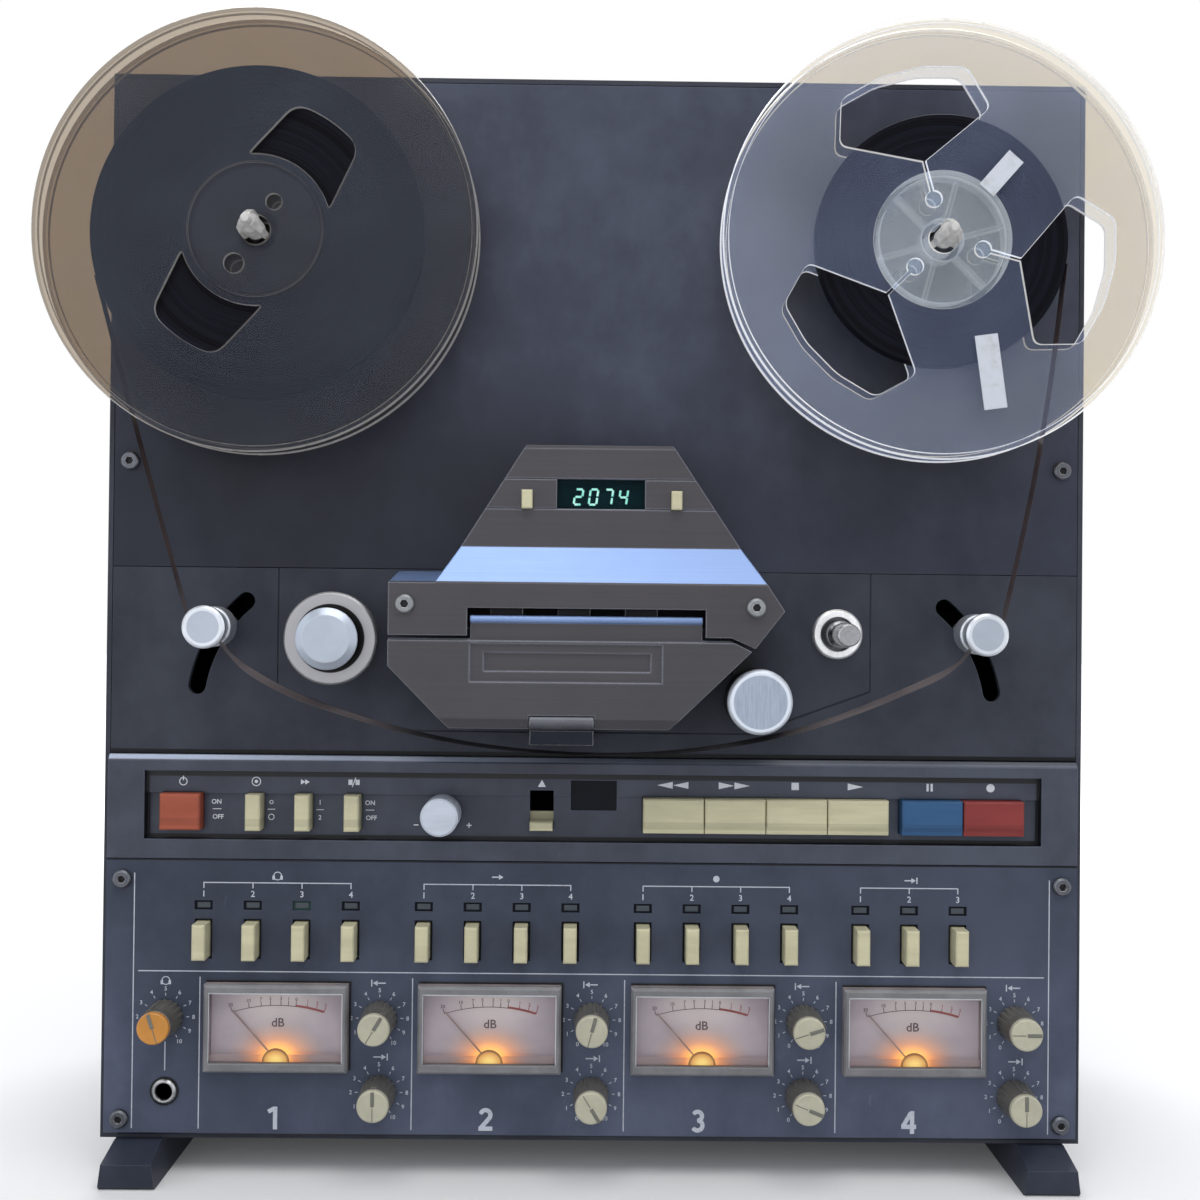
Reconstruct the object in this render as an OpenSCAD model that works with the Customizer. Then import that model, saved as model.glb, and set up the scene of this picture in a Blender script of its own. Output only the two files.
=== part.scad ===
// Four-channel reel-to-reel tape recorder that stands upright on two skids.
// Front pieces are drawn in the deck's own frame: X right, Y up from the floor, Z out of the deck.

/* [Cabinet] */
// Width over the cabinet's sides
cabinet_w = 410; // [400:1:440]
// Height of the cabinet without its skids
cabinet_h = 446; // [440:1:470]
// Depth of the cabinet behind the deck
cabinet_d = 195; // [170:1:230]
// Thickness of the cabinet's sheet
wall = 2; // [1.5:0.5:3]
// Width of the ledge that carries the panels
ledge_w = 12; // [8:1:14]
// Height of the skids
foot_h = 15; // [12:1:20]
// Width of a skid where it meets the floor
foot_w = 23; // [18:1:28]
// Distance from a skid's centre line to the cabinet's side
foot_inset = 16.5; // [12:0.5:40]
// How far the skids reach in front of the deck
foot_reach = 17; // [10:1:30]
// Length of the four rubber studs on the back
rear_stud = 16; // [12:1:24]

/* [Panels] */
// Thickness of the deck panels
panel_t = 3; // [2:0.5:4]
// Gap round each panel
panel_gap = 0.3; // [0.2:0.1:0.5]
// Height of the amplifier panel
amp_h = 115; // [112:1:120]
// Height of the control panel
control_h = 43.3; // [42:0.1:46]
// Height of the transport panel
transport_h = 78.4; // [76:0.1:86]
// How far the control and amplifier panels stand proud of the deck
bezel_out = 3; // [2:0.5:5]
// Diameter of a panel screw's head
screw_head_d = 7.6; // [6:0.2:9]
// Diameter of a panel screw's shank
screw_d = 3.5; // [3:0.1:4]
// Distance from a panel screw to the cabinet's side
screw_inset = 9; // [8.5:0.5:9.5]

/* [Reels] */
// Distance between the reel axes
reel_spacing = 276; // [270:1:300]
// Distance of the reel axes below the top of the deck
reel_drop = 71; // [67:1:75]
// Diameter of a reel
reel_d = 178; // [160:1:180]
// Thickness of a reel over both flanges
reel_t = 13; // [11.5:0.5:14]
// Thickness of a flange
flange_t = 2.2; // [1.6:0.2:2.4]
// Height of the bead along a flange's rim
rim_bead = 0.5; // [0.3:0.1:0.6]
// Radius of a reel's hub
hub_r = 28; // [24:1:29]
// Width of the tape
tape_w = 6.35; // [6:0.05:6.6]
// Thickness that the tape is drawn with
tape_t = 0.3; // [0.2:0.05:0.4]
// Distance of the tape's centre line from the deck
tape_out = 22.5; // [22:0.1:23]
// Radius of the full tape pack on the left
supply_pack_r = 67; // [60:1:68]
// Radius of the tape pack on the right
takeup_pack_r = 51; // [45:1:55]
// Diameter of the table under a reel
table_d = 62; // [56:1:70]
// Diameter of a reel motor's shaft
shaft_d = 8; // [6:0.5:10]
// Distance of a spindle's tip from the deck
spindle_out = 45; // [42:1:50]

/* [Tape path] */
// Distance of a tension arm's pivot from the middle
arm_pivot_x = 107.9; // [106:0.1:109]
// Height of a tension arm's pivot above the control panel
arm_pivot_rise = 18.7; // [17.7:0.1:19.7]
// Length of a tension arm
arm_r = 60; // [58:0.5:62]
// Angle of a tension arm at rest, from level
arm_angle = 35.6; // [33:0.1:38]
// Angle that a tension arm can rise
arm_rise = 14; // [10:1:15]
// Angle that a tension arm can fall
arm_fall = 26; // [20:1:27]
// Diameter of a tape guide's cap
guide_d = 17.2; // [16:0.2:18]
// Diameter of a tape guide's stem
stem_d = 5.6; // [5:0.2:6]
// Distance of the impedance roller to the left of the middle
roller_left = 108; // [104:0.5:112]
// Height of the impedance roller above the control panel
roller_rise = 49.4; // [47:0.1:52]
// Diameter of the impedance roller's flange
roller_flange_d = 38; // [34:1:40]
// Diameter of the impedance roller's cap
roller_cap_d = 25; // [22:1:28]
// Distance of the capstan to the right of the middle
capstan_right = 101.4; // [100:0.1:103]
// Height of the capstan above the control panel
capstan_rise = 52.9; // [52:0.1:54]
// Diameter of the capstan
capstan_d = 9.3; // [8:0.1:10]
// Diameter of the capstan's trim ring
capstan_ring_d = 21; // [19:0.5:24]
// Distance of the pinch roller at rest to the right of the middle
pinch_right = 66; // [65:0.1:67]
// Height of the pinch roller at rest above the control panel
pinch_rise = 25.7; // [25:0.1:26.5]
// Diameter of the pinch roller's rubber
pinch_d = 26.4; // [25:0.2:27]
// Diameter of the pinch roller's cap
pinch_cap_d = 26; // [24:0.2:27]
// Length of the pinch arm
pinch_arm_r = 46; // [44:0.5:48]

/* [Head housing] */
// Distance of the counter's face from the deck
counter_out = 20; // [18:0.5:21]
// Distance of the head cover's face from the deck
cover_out = 30; // [29:0.5:32]
// Wall of the head housing
cover_wall = 2.2; // [1.6:0.2:2.4]
// Thickness of the flap
flap_t = 3.3; // [2.6:0.1:3.4]
// Gap round the flap
flap_gap = 1.2; // [0.8:0.1:1.4]
// Diameter of the flap's hinge pin
hinge_d = 3; // [2.4:0.1:3.4]
// Width of the flap's hinge bracket
hinge_w = 25.4; // [20:0.2:27]

/* [Controls] */
// Gap round a key in its opening
key_gap = 0.25; // [0.2:0.05:0.4]
// Running clearance of a shaft in its bore, on the radius
run_gap = 0.05; // [0.03:0.01:0.08]
// Width of a transport key
key_w = 25.3; // [24:0.1:25.4]
// Pitch of the transport keys
key_pitch = 25.7; // [25.6:0.1:26]
// Height of a transport key
key_h = 14.4; // [13:0.1:15]
// How far the keys stand out of the deck
key_out = 5.5; // [5:0.5:8]
// Width of a slim key
slim_w = 6.2; // [5.4:0.1:7]
// Width of a selector button
select_w = 5.4; // [5:0.1:6]
// Height of a selector button
select_h = 14.6; // [13:0.2:16]
// How far a selector button stands out of the amplifier panel
select_out = 8; // [6:0.5:10]
// Pitch of the selector buttons
select_pitch = 20.4; // [19.6:0.1:20.6]
// Diameter of a level knob at its foot
knob_d = 15; // [14:0.5:16]
// Diameter of a level knob's cap
knob_cap_d = 12.9; // [12:0.1:13.5]
// Height of a level knob
knob_h = 16.5; // [14:0.5:18]
// Number of flutes round a level knob
knob_flutes = 18; // [12:1:24]
// Diameter of a level knob's shaft
knob_shaft_d = 6; // [5:0.5:6.5]
// Diameter of the pitch knob
pitch_d = 15.6; // [14:0.2:17]

/* [Meters] */
// Width of a meter's frame
meter_w = 59.4; // [58:0.2:60]
// Height of a meter's frame
meter_h = 36.2; // [35:0.2:37]
// How far a meter's frame stands out of its panel
meter_out = 5; // [4:0.5:6]
// Distance between the channels
channel_pitch = 88.4; // [87.6:0.1:88.8]
// Length of a meter's needle
needle_l = 28; // [24:0.5:28.5]
// Angle of a needle at rest, from level
needle_rest = 132; // [130:1:135]

/* [Hidden] */
$fn = 64;
// A cut runs this far past the face that it leaves
past = 1;

// Depth: the origin is in the middle of the whole depth
deck_y = (spindle_out - cabinet_d - rear_stud) / 2;

// Heights of the panels' edges
base_y = foot_h + wall;
amp_top = base_y + amp_h;
control_top = amp_top + control_h;
seam_y = control_top + transport_h;
top_y = foot_h + cabinet_h - wall;
panel_w = cabinet_w - 2 * wall - 2 * panel_gap;
deck_screw_y = seam_y + 44.3;
amp_screw_ys = [base_y + 7, amp_top - 8.5];
screw_x = cabinet_w / 2 - screw_inset;
ledge_t = 2;
screw_fit = 0.4;
screw_head_t = 2;
screw_key = 3.4;
screw_past = 0.5;
rear_x = cabinet_w / 2 - wall - panel_gap;
rear_screw_x = rear_x - 6;
rear_screw_ys = [base_y + 20, (base_y + top_y) / 2, top_y - 20];

// Reel and spindle
reel_xs = [-reel_spacing / 2, reel_spacing / 2];
reel_y = top_y - reel_drop;
reel_back = tape_out - reel_t / 2;
reel_front = tape_out + reel_t / 2;
table_lift = 2;
spindle_hole_r = 4.4;
fin_w = 2.6;
fin_r = 5.6;
fin_gap = 0.3;
motor_d = 92;
motor_l = 46;
motor_hole_d = shaft_d + 14;

// Tape guides and rollers, as distances from the deck
groove_half = tape_w / 2 + 0.35;
guide_front = tape_out + groove_half + 3;
arm_t = 3;
arm_back = -panel_t - 4.5;
arm_hub_d = 14;
stud_d = 6;
slot_w = stem_d + 1.8;
guide_groove_r = 6;
guide_back = 8;
arm_w = 8;
arm_end_d = 10;
arm_pivot_y = control_top + arm_pivot_rise;
roller_xy = [-roller_left, control_top + roller_rise];
roller_shaft_d = 6;
boss_d = 16;
boss_out = tape_out - groove_half - 5.6;
seal_gap = 0.3;
capstan_xy = [capstan_right, control_top + capstan_rise];
pinch_xy = [pinch_right, control_top + pinch_rise];
capstan_ring_t = 3;
capstan_motor_front = -panel_t - 11;
capstan_motor_l = 40;
capstan_motor_d = 84;
rotor_d = 70;
rotor_l = 18;
rotor_gap = 1.5;
step_d = capstan_d + 2.2;

// The pinch arm's pivot lies on the line that halves the way to the capstan
pinch_touch = (max(pinch_d, pinch_cap_d) + capstan_d) / 2 + 0.3;
pinch_way = capstan_xy - pinch_xy;
pinch_dir = pinch_way / norm(pinch_way);
pinch_stroke = norm(pinch_way) - pinch_touch;
pinch_drop = sqrt(pinch_arm_r * pinch_arm_r - pinch_stroke * pinch_stroke / 4);
pinch_pivot = pinch_xy + pinch_dir * pinch_stroke / 2 + [-pinch_dir[1], pinch_dir[0]] * pinch_drop;
pinch_arm_t = 4;
pinch_bar_w = 8.6;
pinch_arm_lift = 1.5;
pinch_back = tape_out - 9;
pinch_front = tape_out + 5.5;

// Head housing: its heights are taken from the control panel's top edge
head_x = 1;
counter_top = control_top + 129;
slope_top = control_top + 87.4;
slope_foot = control_top + 72.3;
cover_back_top = control_top + 77.5;
cover_left = -83;
cover_low = control_top + 51.3;
tip = [75.2, control_top + 62.1];
tip_low = [63.6, control_top + 47.1];
tongue_x = [-50.3, 42.4];
tongue_top = control_top + 59.5;
tongue_gap = 2.9;
tongue_out = cover_out - 1.8;
lip_r = 1.5;
lip_out = 1.2;
flap_low = control_top + 14.2;
flap_x = [-58.6, 29.4];
flap_shoulder = control_top + 39;
bevel_y = 4.3;
recess_x = [-50.4, 26.5];
recess_y = [control_top + 32.9, control_top + 48.3];
recess_t = 0.8;
plaque_x = [-44.9, 21.9];
plaque_y = [control_top + 37.2, control_top + 44.7];
plaque_t = 1;
arm_notch = 20;
flap_back = cover_out - flap_t;
hinge_x = -13.5;
hinge_y = flap_low + 2.6;
hinge_out = flap_back + hinge_d / 2 - 0.6;
knuckle_r = hinge_d / 2 + 1.8;
knuckle_gap = 0.4;
hinge_drop = 9;
cover_screws = [[-76.3, control_top + 63.7], [63.7, control_top + 63.5]];
cover_screw_l = 9;
counter_x = [-16.5, 19.3];
counter_y = [control_top + 103, control_top + 115.1];
counter_key = [4.4, 7.6];
counter_keys = [[-28.5, control_top + 106.6], [32.1, control_top + 106.6]];
counter_key_out = 3;
plate_out = 8;
plate_t = 3;
plate_x = [-79, 60];
plate_y = [control_top + 54.2, control_top + 71.2];
plate_nose = [[68.5, control_top + 60.7], [68.5, control_top + 66.2], [65, plate_y[1]]];
leg_xs = [-70, -14, 24];
leg_y = control_top + 67.7;
leg_d = 7;
boss_screw_d = 8;
head_y = cover_low + 4;
head_xs = [-36, -9, 18];
head_w = 13;
head_back = 9;
head_nose_r = 9;
head_nose = 6;
post_xs = [-58, 38];
post_d = 6;
post_collar_d = 9;

// Control panel
frame_x = cabinet_w / 2 - 17.5;
frame_y = [amp_top + 8.1, control_top - 6.7];
shelf_y = frame_y[1] - 9.6;
shelf_out = 0;
pocket_out = -1.5;
key_y = amp_top + 19.7;
key_back = 8;
key_bevel = 3.4;
power_w = 16.6;
pitch_h = 15;
cue_w = 10;
cue_h = 16.3;
cue_y = key_y + 1.5;
cue_lever_h = 3.6;
cue_slide = 3;
dark_y = amp_top + 27.3;
dark_w = 19.3;
dark_h = 12.7;

// The control row from left to right: the pieces' widths, and the gaps that share what they leave
row_w = [
    power_w, slim_w, slim_w, slim_w, pitch_d, cue_w, dark_w, 3 * key_pitch + key_w, key_pitch + key_w
];
row_gaps = [7, 19.1, 14.2, 14.3, 26.5, 28.6, 7.2, 11, 5.7, 7.9];
function total(v, n) = n > 0 ? v[n - 1] + total(v, n - 1) : 0;
row_share = (2 * frame_x - total(row_w, len(row_w))) / total(row_gaps, len(row_gaps));
function row_x(k) = -frame_x + total(row_w, k) + row_w[k] / 2 + total(row_gaps, k + 1) * row_share;
power_x = row_x(0);
slim_xs = [row_x(1), row_x(2), row_x(3)];
pitch_xy = [row_x(4), key_y];
cue_x = row_x(5);
dark_x = row_x(6);
key_x0 = row_x(7) - 1.5 * key_pitch;
pause_x0 = row_x(8) - key_pitch / 2;

// Amplifier panel
select_y = amp_top - 33.2;
lamp_y = amp_top - 19.2;
lamp_w = 7.6;
lamp_h = 3.9;
lamp_t = 1.5;
select_gap = 1;
select_sink = 1.5;
banks = [[-162.2, 4], [-70.6, 4], [20.8, 4], [111.8, 3]];
channel_x0 = -130.9;
meter_y = base_y + 45.8;
window_w = meter_w - 3.8;
window_h = meter_h - 7;
window_y = meter_y + 0.3;
lens_t = 1.2;
dial_depth = 1;
dial_out = bezel_out - dial_depth;
cavity_h = window_h + 2.4;
case_back = -panel_t - 20;
pivot_y = window_y - window_h / 2;
needle_pin_d = 1.5;
needle_hub_d = 2.6;
knob_x0 = -88.5;
knob_ys = [base_y + 49.3, base_y + 18.5];
phones_x = -177.5;
knob_lift = 0.4;
jack_d = 10.4;
jack_bore = 6.4;
jack_mouth = 7.6;
jack_sink = 1;
jack_hole = 9;
jack_out = 1.6;
jack_l = 18;

// Rear
socket_d = 8.3;
socket_l = 9;
socket_y = 90;
socket_pitch = 24;
vent_w = 5;
vent_h = 46;
vent_pitch = 12;
vent_drop = 70;
stud_inset = 40;
rear_stud_d = 22;
socket_x0 = -150;
socket_in = 8;
socket_bore = 3.3;
gland_x = 150;
gland_d = 13;
gland_flange_d = 17;
gland_out = 4;
gland_bore = 7.5;
board_lift = 8;
board_w = 230;
board_d = 100;
board_t = 1.6;
board_x = -60;
board_z = -cabinet_d / 2 - 20;
transformer = [74, 62, 66];
transformer_x = 125;

// The tape's free run, chosen by hand: X, and the height above the control panel
slack = [
    [-148, 43.3], [-141, 37.1], [-129.6, 30.3], [-117, 24.7], [-104, 20.3], [-86, 14.9], [-66, 10.3],
    [-47, 7.1], [-28, 5.1], [-8, 4], [12, 3.9], [32, 5.1], [51, 7.5], [68, 10.7], [87, 15.5],
    [107, 22.7], [125, 30.3], [140, 37.3], [148, 42.9]
];

function arc(c, r, a0, a1, n) =
    [for (i = [0:n]) [c[0] + r * cos(a0 + (a1 - a0) * i / n), c[1] + r * sin(a0 + (a1 - a0) * i / n)]];

function polar(r, a) = [r * cos(a), r * sin(a)];

// A closed outline with every corner rounded to radius r by n steps
function rounded(p, r, n = 4) = [
    for (i = [0:len(p) - 1])
        let (a = p[(i + len(p) - 1) % len(p)] - p[i], b = p[(i + 1) % len(p)] - p[i])
        let (u = a / norm(a), v = b / norm(b), half = acos(max(-1, min(1, u * v))) / 2)
        let (back = min(r / tan(half), norm(a) / 2.1, norm(b) / 2.1), mid = (u + v) / norm(u + v))
        let (c = p[i] + mid * (back / cos(half)))
        let (s = p[i] + u * back - c, e = p[i] + v * back - c)
        let (a0 = atan2(s[1], s[0]), turn = atan2(s[0] * e[1] - s[1] * e[0], s * e))
        for (k = [0:n]) c + norm(s) * [cos(a0 + turn * k / n), sin(a0 + turn * k / n)]
];

// Stands a piece that is drawn in the deck's frame up in the recorder's frame
module front() translate([0, deck_y, 0]) rotate([90, 0, 0]) children();

// A plate with straight edges from corner a to corner b, between two distances from the deck
module slab(a, b, z0, z1) translate([a[0], a[1], z0]) cube([b[0] - a[0], b[1] - a[1], z1 - z0]);

module block(c, w, h, z0, z1) slab([c[0] - w / 2, c[1] - h / 2], [c[0] + w / 2, c[1] + h / 2], z0, z1);

module rod(c, d, z0, z1) translate([c[0], c[1], z0]) cylinder(d = d, h = z1 - z0);

// A rod whose front edge has a chamfer
module button_rod(c, d, z0, z1, chamfer)
    translate([c[0], c[1], 0])
        rotate_extrude()
            polygon([[0, z0], [d / 2, z0], [d / 2, z1 - chamfer], [d / 2 - chamfer, z1], [0, z1]]);

// A key: a block whose front edges are chamfered, with a deeper bevel along its foot
module key(c, w, h, z0, z1, chamfer, foot = 0) {
    drop = max(foot, chamfer);
    across = [
        [-w / 2, z0], [w / 2, z0], [w / 2, z1 - chamfer], [w / 2 - chamfer, z1],
        [-w / 2 + chamfer, z1], [-w / 2, z1 - chamfer]
    ];
    up = [
        [-h / 2, z0], [h / 2, z0], [h / 2, z1 - chamfer], [h / 2 - chamfer, z1],
        [-h / 2 + drop, z1], [-h / 2, z1 - drop * (foot > 0 ? 0.3 : 1)]
    ];
    translate([c[0], c[1], 0])
        intersection() {
            translate([0, h / 2, 0]) rotate([90, 0, 0]) linear_extrude(h) polygon(across);
            translate([-w / 2, 0, 0]) rotate([90, 0, 90]) linear_extrude(w) polygon(up);
        }
}

// An outline in X and Y that is cut by a side profile in Y and Z
module profiled(outline, profile, x0, x1)
    intersection() {
        translate([0, 0, -past]) linear_extrude(cover_out + 2 * past) polygon(outline);
        translate([x0, 0, 0]) rotate([90, 0, 90]) linear_extrude(x1 - x0) polygon(profile);
    }

// Cabinet

module case_shell() color("#3b3d45") front() {
    low = foot_h;
    inner = cabinet_w / 2 - wall;
    difference() {
        slab([-cabinet_w / 2, low], [cabinet_w / 2, low + cabinet_h], -cabinet_d, 0);
        slab([-inner, low + wall], [inner, low + cabinet_h - wall], -cabinet_d - past, -cabinet_d + ledge_t);
        slab([-inner, low + wall], [inner, low + cabinet_h - wall], -panel_t, past);
        slab([-inner + ledge_w, low + wall + ledge_w], [inner - ledge_w, low + cabinet_h - wall - ledge_w],
             -cabinet_d, past);
        slab([-inner, low + wall], [inner, low + cabinet_h - wall],
             -cabinet_d + 2 * ledge_t, -panel_t - ledge_t);
        for (x = [-screw_x, screw_x], y = concat([deck_screw_y], amp_screw_ys))
            rod([x, y], screw_d + screw_fit, -panel_t - ledge_t - past, past);
        for (x = [-rear_screw_x, rear_screw_x], y = rear_screw_ys)
            rod([x, y], screw_d + screw_fit, -cabinet_d, -cabinet_d + 2 * ledge_t + past);
    }
    for (x = [-1, 1], z = [-1, 1])
        translate([board_x + x * (board_w / 2 - 8), low + wall, board_z + z * (board_d / 2 - 8)])
            rotate([-90, 0, 0]) cylinder(d = 7, h = board_lift);
}

module rear_cover() color("#2e3036") front() {
    difference() {
        slab([-rear_x, base_y + panel_gap], [rear_x, top_y - panel_gap], -cabinet_d, -cabinet_d + ledge_t);
        for (row = [0:1], i = [-7:7])
            block([i * vent_pitch, top_y - vent_drop * (row + 1)], vent_w, vent_h, -cabinet_d - past, 0);
        for (row = [0:1], i = [0:3])
            rod([socket_x0 + i * socket_pitch, socket_y + row * socket_pitch], socket_d + 1.7,
                -cabinet_d - past, 0);
        rod([gland_x, socket_y], gland_d + 0.5, -cabinet_d - past, 0);
        for (x = [-rear_screw_x, rear_screw_x], y = rear_screw_ys)
            rod([x, y], screw_d + screw_fit, -cabinet_d - past, 0);
    }
    for (x = [-1, 1], y = [base_y + stud_inset, top_y - stud_inset])
        rod([x * (rear_x - stud_inset), y], rear_stud_d, -cabinet_d - rear_stud, -cabinet_d);
}

module skid_feet() color("#25272c") front()
    for (side = [-1, 1]) {
        toe = foot_h * 0.69;
        across = [
            [-foot_w / 2, 0], [foot_w / 2, 0], [foot_w / 2 - 1.8, foot_h], [-foot_w / 2 + 1.8, foot_h]
        ];
        along = [
            [0, foot_reach - 1.5], [1.5, foot_reach], [toe, foot_reach], [foot_h, 2],
            [foot_h, 12 - cabinet_d], [0, 12 - cabinet_d]
        ];
        translate([side * (cabinet_w / 2 - foot_inset), 0, 0])
            intersection() {
                translate([0, 0, -cabinet_d]) linear_extrude(cabinet_d + foot_reach) polygon(across);
                translate([-foot_w / 2, 0, 0]) rotate([90, 0, 90]) linear_extrude(foot_w) polygon(along);
            }
    }

// Panels

module upper_deck_panel() color("#35373e") front()
    difference() {
        slab([-panel_w / 2, seam_y + panel_gap / 2], [panel_w / 2, top_y - panel_gap], -panel_t, 0);
        for (x = reel_xs) rod([x, reel_y], motor_hole_d, -panel_t - past, past);
        for (x = [-screw_x, screw_x]) rod([x, deck_screw_y], screw_d + screw_fit, -panel_t - past, past);
    }

// The slot that a tension guide's stem runs in: two arcs about the pivot, closed by round ends
module arm_slot(side) {
    a0 = arm_angle - arm_fall;
    a1 = arm_angle + arm_rise;
    half = slot_w / 2;
    far_end = arc(polar(arm_r, a1), half, a1, a1 + 180, 8);
    near_end = arc(polar(arm_r, a0), half, a0 + 180, a0 + 360, 8);
    outline = concat(
        arc([0, 0], arm_r + half, a0, a1, 12),
        [for (i = [1:7]) far_end[i]],
        arc([0, 0], arm_r - half, a1, a0, 12),
        [for (i = [1:7]) near_end[i]]
    );
    mirror([side < 0 ? 1 : 0, 0, 0])
        translate([arm_pivot_x, arm_pivot_y, -panel_t - past])
            linear_extrude(panel_t + 2 * past) polygon(outline);
}

module transport_panel() color("#35373e") front() {
    groove = 0.7;
    low = control_top + panel_gap;
    seam_l = -133.6;
    seam_r = 115.9;
    shoulder = low + 28;
    sill = low + 10;
    inset_outline = [
        [seam_l, seam_y + past], [seam_l, shoulder], [-84, sill], [66, sill], [seam_r, shoulder],
        [seam_r, seam_y + past]
    ];
    difference() {
        slab([-panel_w / 2, low], [panel_w / 2, seam_y - panel_gap / 2], -panel_t, 0);
        for (side = [-1, 1]) arm_slot(side);
        translate([0, 0, -groove])
            linear_extrude(groove + past)
                difference() {
                    polygon(inset_outline);
                    translate([0, groove]) polygon([
                        for (p = inset_outline)
                            [p[0] + (p[0] < 0 ? groove : -groove), p[1] + (p[1] > shoulder ? 2 : 0)]
                    ]);
                }
        rod(capstan_xy, step_d + 3, -panel_t - past, past);
        rod(roller_xy, roller_shaft_d + 2, -panel_t - past, past);
    }
    for (side = [-1, 1]) rod([side * arm_pivot_x, arm_pivot_y], stud_d, arm_back - 3, -panel_t);
    rod(pinch_pivot, stud_d, 0, plate_out - 1);
}

module control_panel() color("#373a43") front() {
    low = amp_top + panel_gap / 2;
    high = control_top - panel_gap / 2;
    side = [
        [low, -panel_t], [high, -panel_t], [high, bezel_out - 1.6], [high - 2.4, bezel_out], [low, bezel_out]
    ];
    hole_h = key_h + 2 * key_gap;
    difference() {
        translate([-panel_w / 2, 0, 0]) rotate([90, 0, 90]) linear_extrude(panel_w) polygon(side);
        slab([-frame_x, frame_y[0]], [frame_x, frame_y[1]], shelf_out, bezel_out + past);
        slab([-frame_x, frame_y[0]], [frame_x, shelf_y], pocket_out, bezel_out + past);
        block([power_x, key_y], power_w + 2 * key_gap, hole_h + 0.6, -panel_t - past, past);
        for (x = slim_xs) block([x, key_y], slim_w + 2 * key_gap, hole_h + 0.6, -panel_t - past, past);
        rod(pitch_xy, knob_shaft_d + 2 * run_gap, -panel_t - past, past);
        block([cue_x, cue_y], cue_w, cue_h, -panel_t - past, past);
        block([dark_x, dark_y], dark_w, dark_h, -panel_t - past, past);
        slab([key_x0 - key_w / 2 - key_gap, key_y - hole_h / 2],
             [key_x0 + 3 * key_pitch + key_w / 2 + key_gap, key_y + hole_h / 2], -panel_t - past, past);
        slab([pause_x0 - key_w / 2 - key_gap, key_y - hole_h / 2],
             [pause_x0 + key_pitch + key_w / 2 + key_gap, key_y + hole_h / 2], -panel_t - past, past);
    }
}

module amplifier_panel() color("#3a3e4b") front() {
    low = base_y + panel_gap;
    high = amp_top - panel_gap / 2;
    side = [
        [low, -panel_t], [high, -panel_t], [high, bezel_out], [low + 1, bezel_out], [low, bezel_out - 1]
    ];
    back = -panel_t - past;
    out = bezel_out + past;
    difference() {
        translate([-panel_w / 2, 0, 0]) rotate([90, 0, 90]) linear_extrude(panel_w) polygon(side);
        for (i = [0:3]) block([meter_x(i), window_y], window_w + 2, cavity_h + 2, back, out);
        for (i = [0:3], y = knob_ys)
            rod([knob_x0 + i * channel_pitch, y], knob_shaft_d + 2 * run_gap, back, out);
        rod([phones_x, knob_ys[0]], knob_shaft_d + 2 * run_gap, back, out);
        rod([phones_x, knob_ys[1]], jack_hole, back, out);
        for (b = banks, i = [0:b[1] - 1]) {
            x = b[0] + i * select_pitch;
            block([x, select_y], select_w + 2 * key_gap, select_h + 2 * key_gap, back, out);
            block([x, select_y], select_w + 2 * select_gap, select_h + 2 * select_gap,
                  bezel_out - select_sink, out);
            block([x, lamp_y], lamp_w, lamp_h, back, out);
        }
        for (x = [-screw_x, screw_x], y = amp_screw_ys) rod([x, y], screw_d + screw_fit, back, out);
    }
}

// Head housing

function meter_x(i) = channel_x0 + i * channel_pitch;

counter_outline = [
    [head_x - 30, counter_top], [head_x - 66.2, slope_foot - past], [head_x + 68.1, slope_foot - past],
    [head_x + 29.6, counter_top]
];

cover_outline = [
    [cover_left, cover_back_top], [cover_left, cover_low], [tongue_x[0] - flap_gap, cover_low],
    [tongue_x[0] - flap_gap, tongue_top + tongue_gap], [tongue_x[1] + flap_gap, tongue_top + tongue_gap],
    [tongue_x[1] + flap_gap, cover_low], [54, cover_low], tip_low, tip, [68.5, slope_foot],
    [66, cover_back_top]
];

flap_outline = [
    [cover_left, cover_low - flap_gap], [cover_left, flap_shoulder], [flap_x[0], flap_low],
    [flap_x[1], flap_low], [tip_low[0] - 1.4, tip_low[1] - flap_gap], [53.6, cover_low - flap_gap],
    [tongue_x[1], cover_low - flap_gap], [tongue_x[1], tongue_top], [tongue_x[0], tongue_top],
    [tongue_x[0], cover_low - flap_gap]
];

// The housing's outer form: the counter's wedge, the bright slope and the head cover below it
module housing_form() {
    wedge = [
        [counter_top, 0], [counter_top, counter_out - 1.6], [counter_top - 1.6, counter_out],
        [slope_top, counter_out], [slope_foot, cover_out], [slope_foot - 8, cover_out], [slope_foot - 8, 0]
    ];
    cover = [
        [tip_low[1] - past, 0], [cover_back_top, 0], [slope_foot, cover_out], [tip_low[1] - past, cover_out]
    ];
    profiled(counter_outline, wedge, -90, 90);
    profiled(cover_outline, cover, -90, 90);
}

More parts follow.
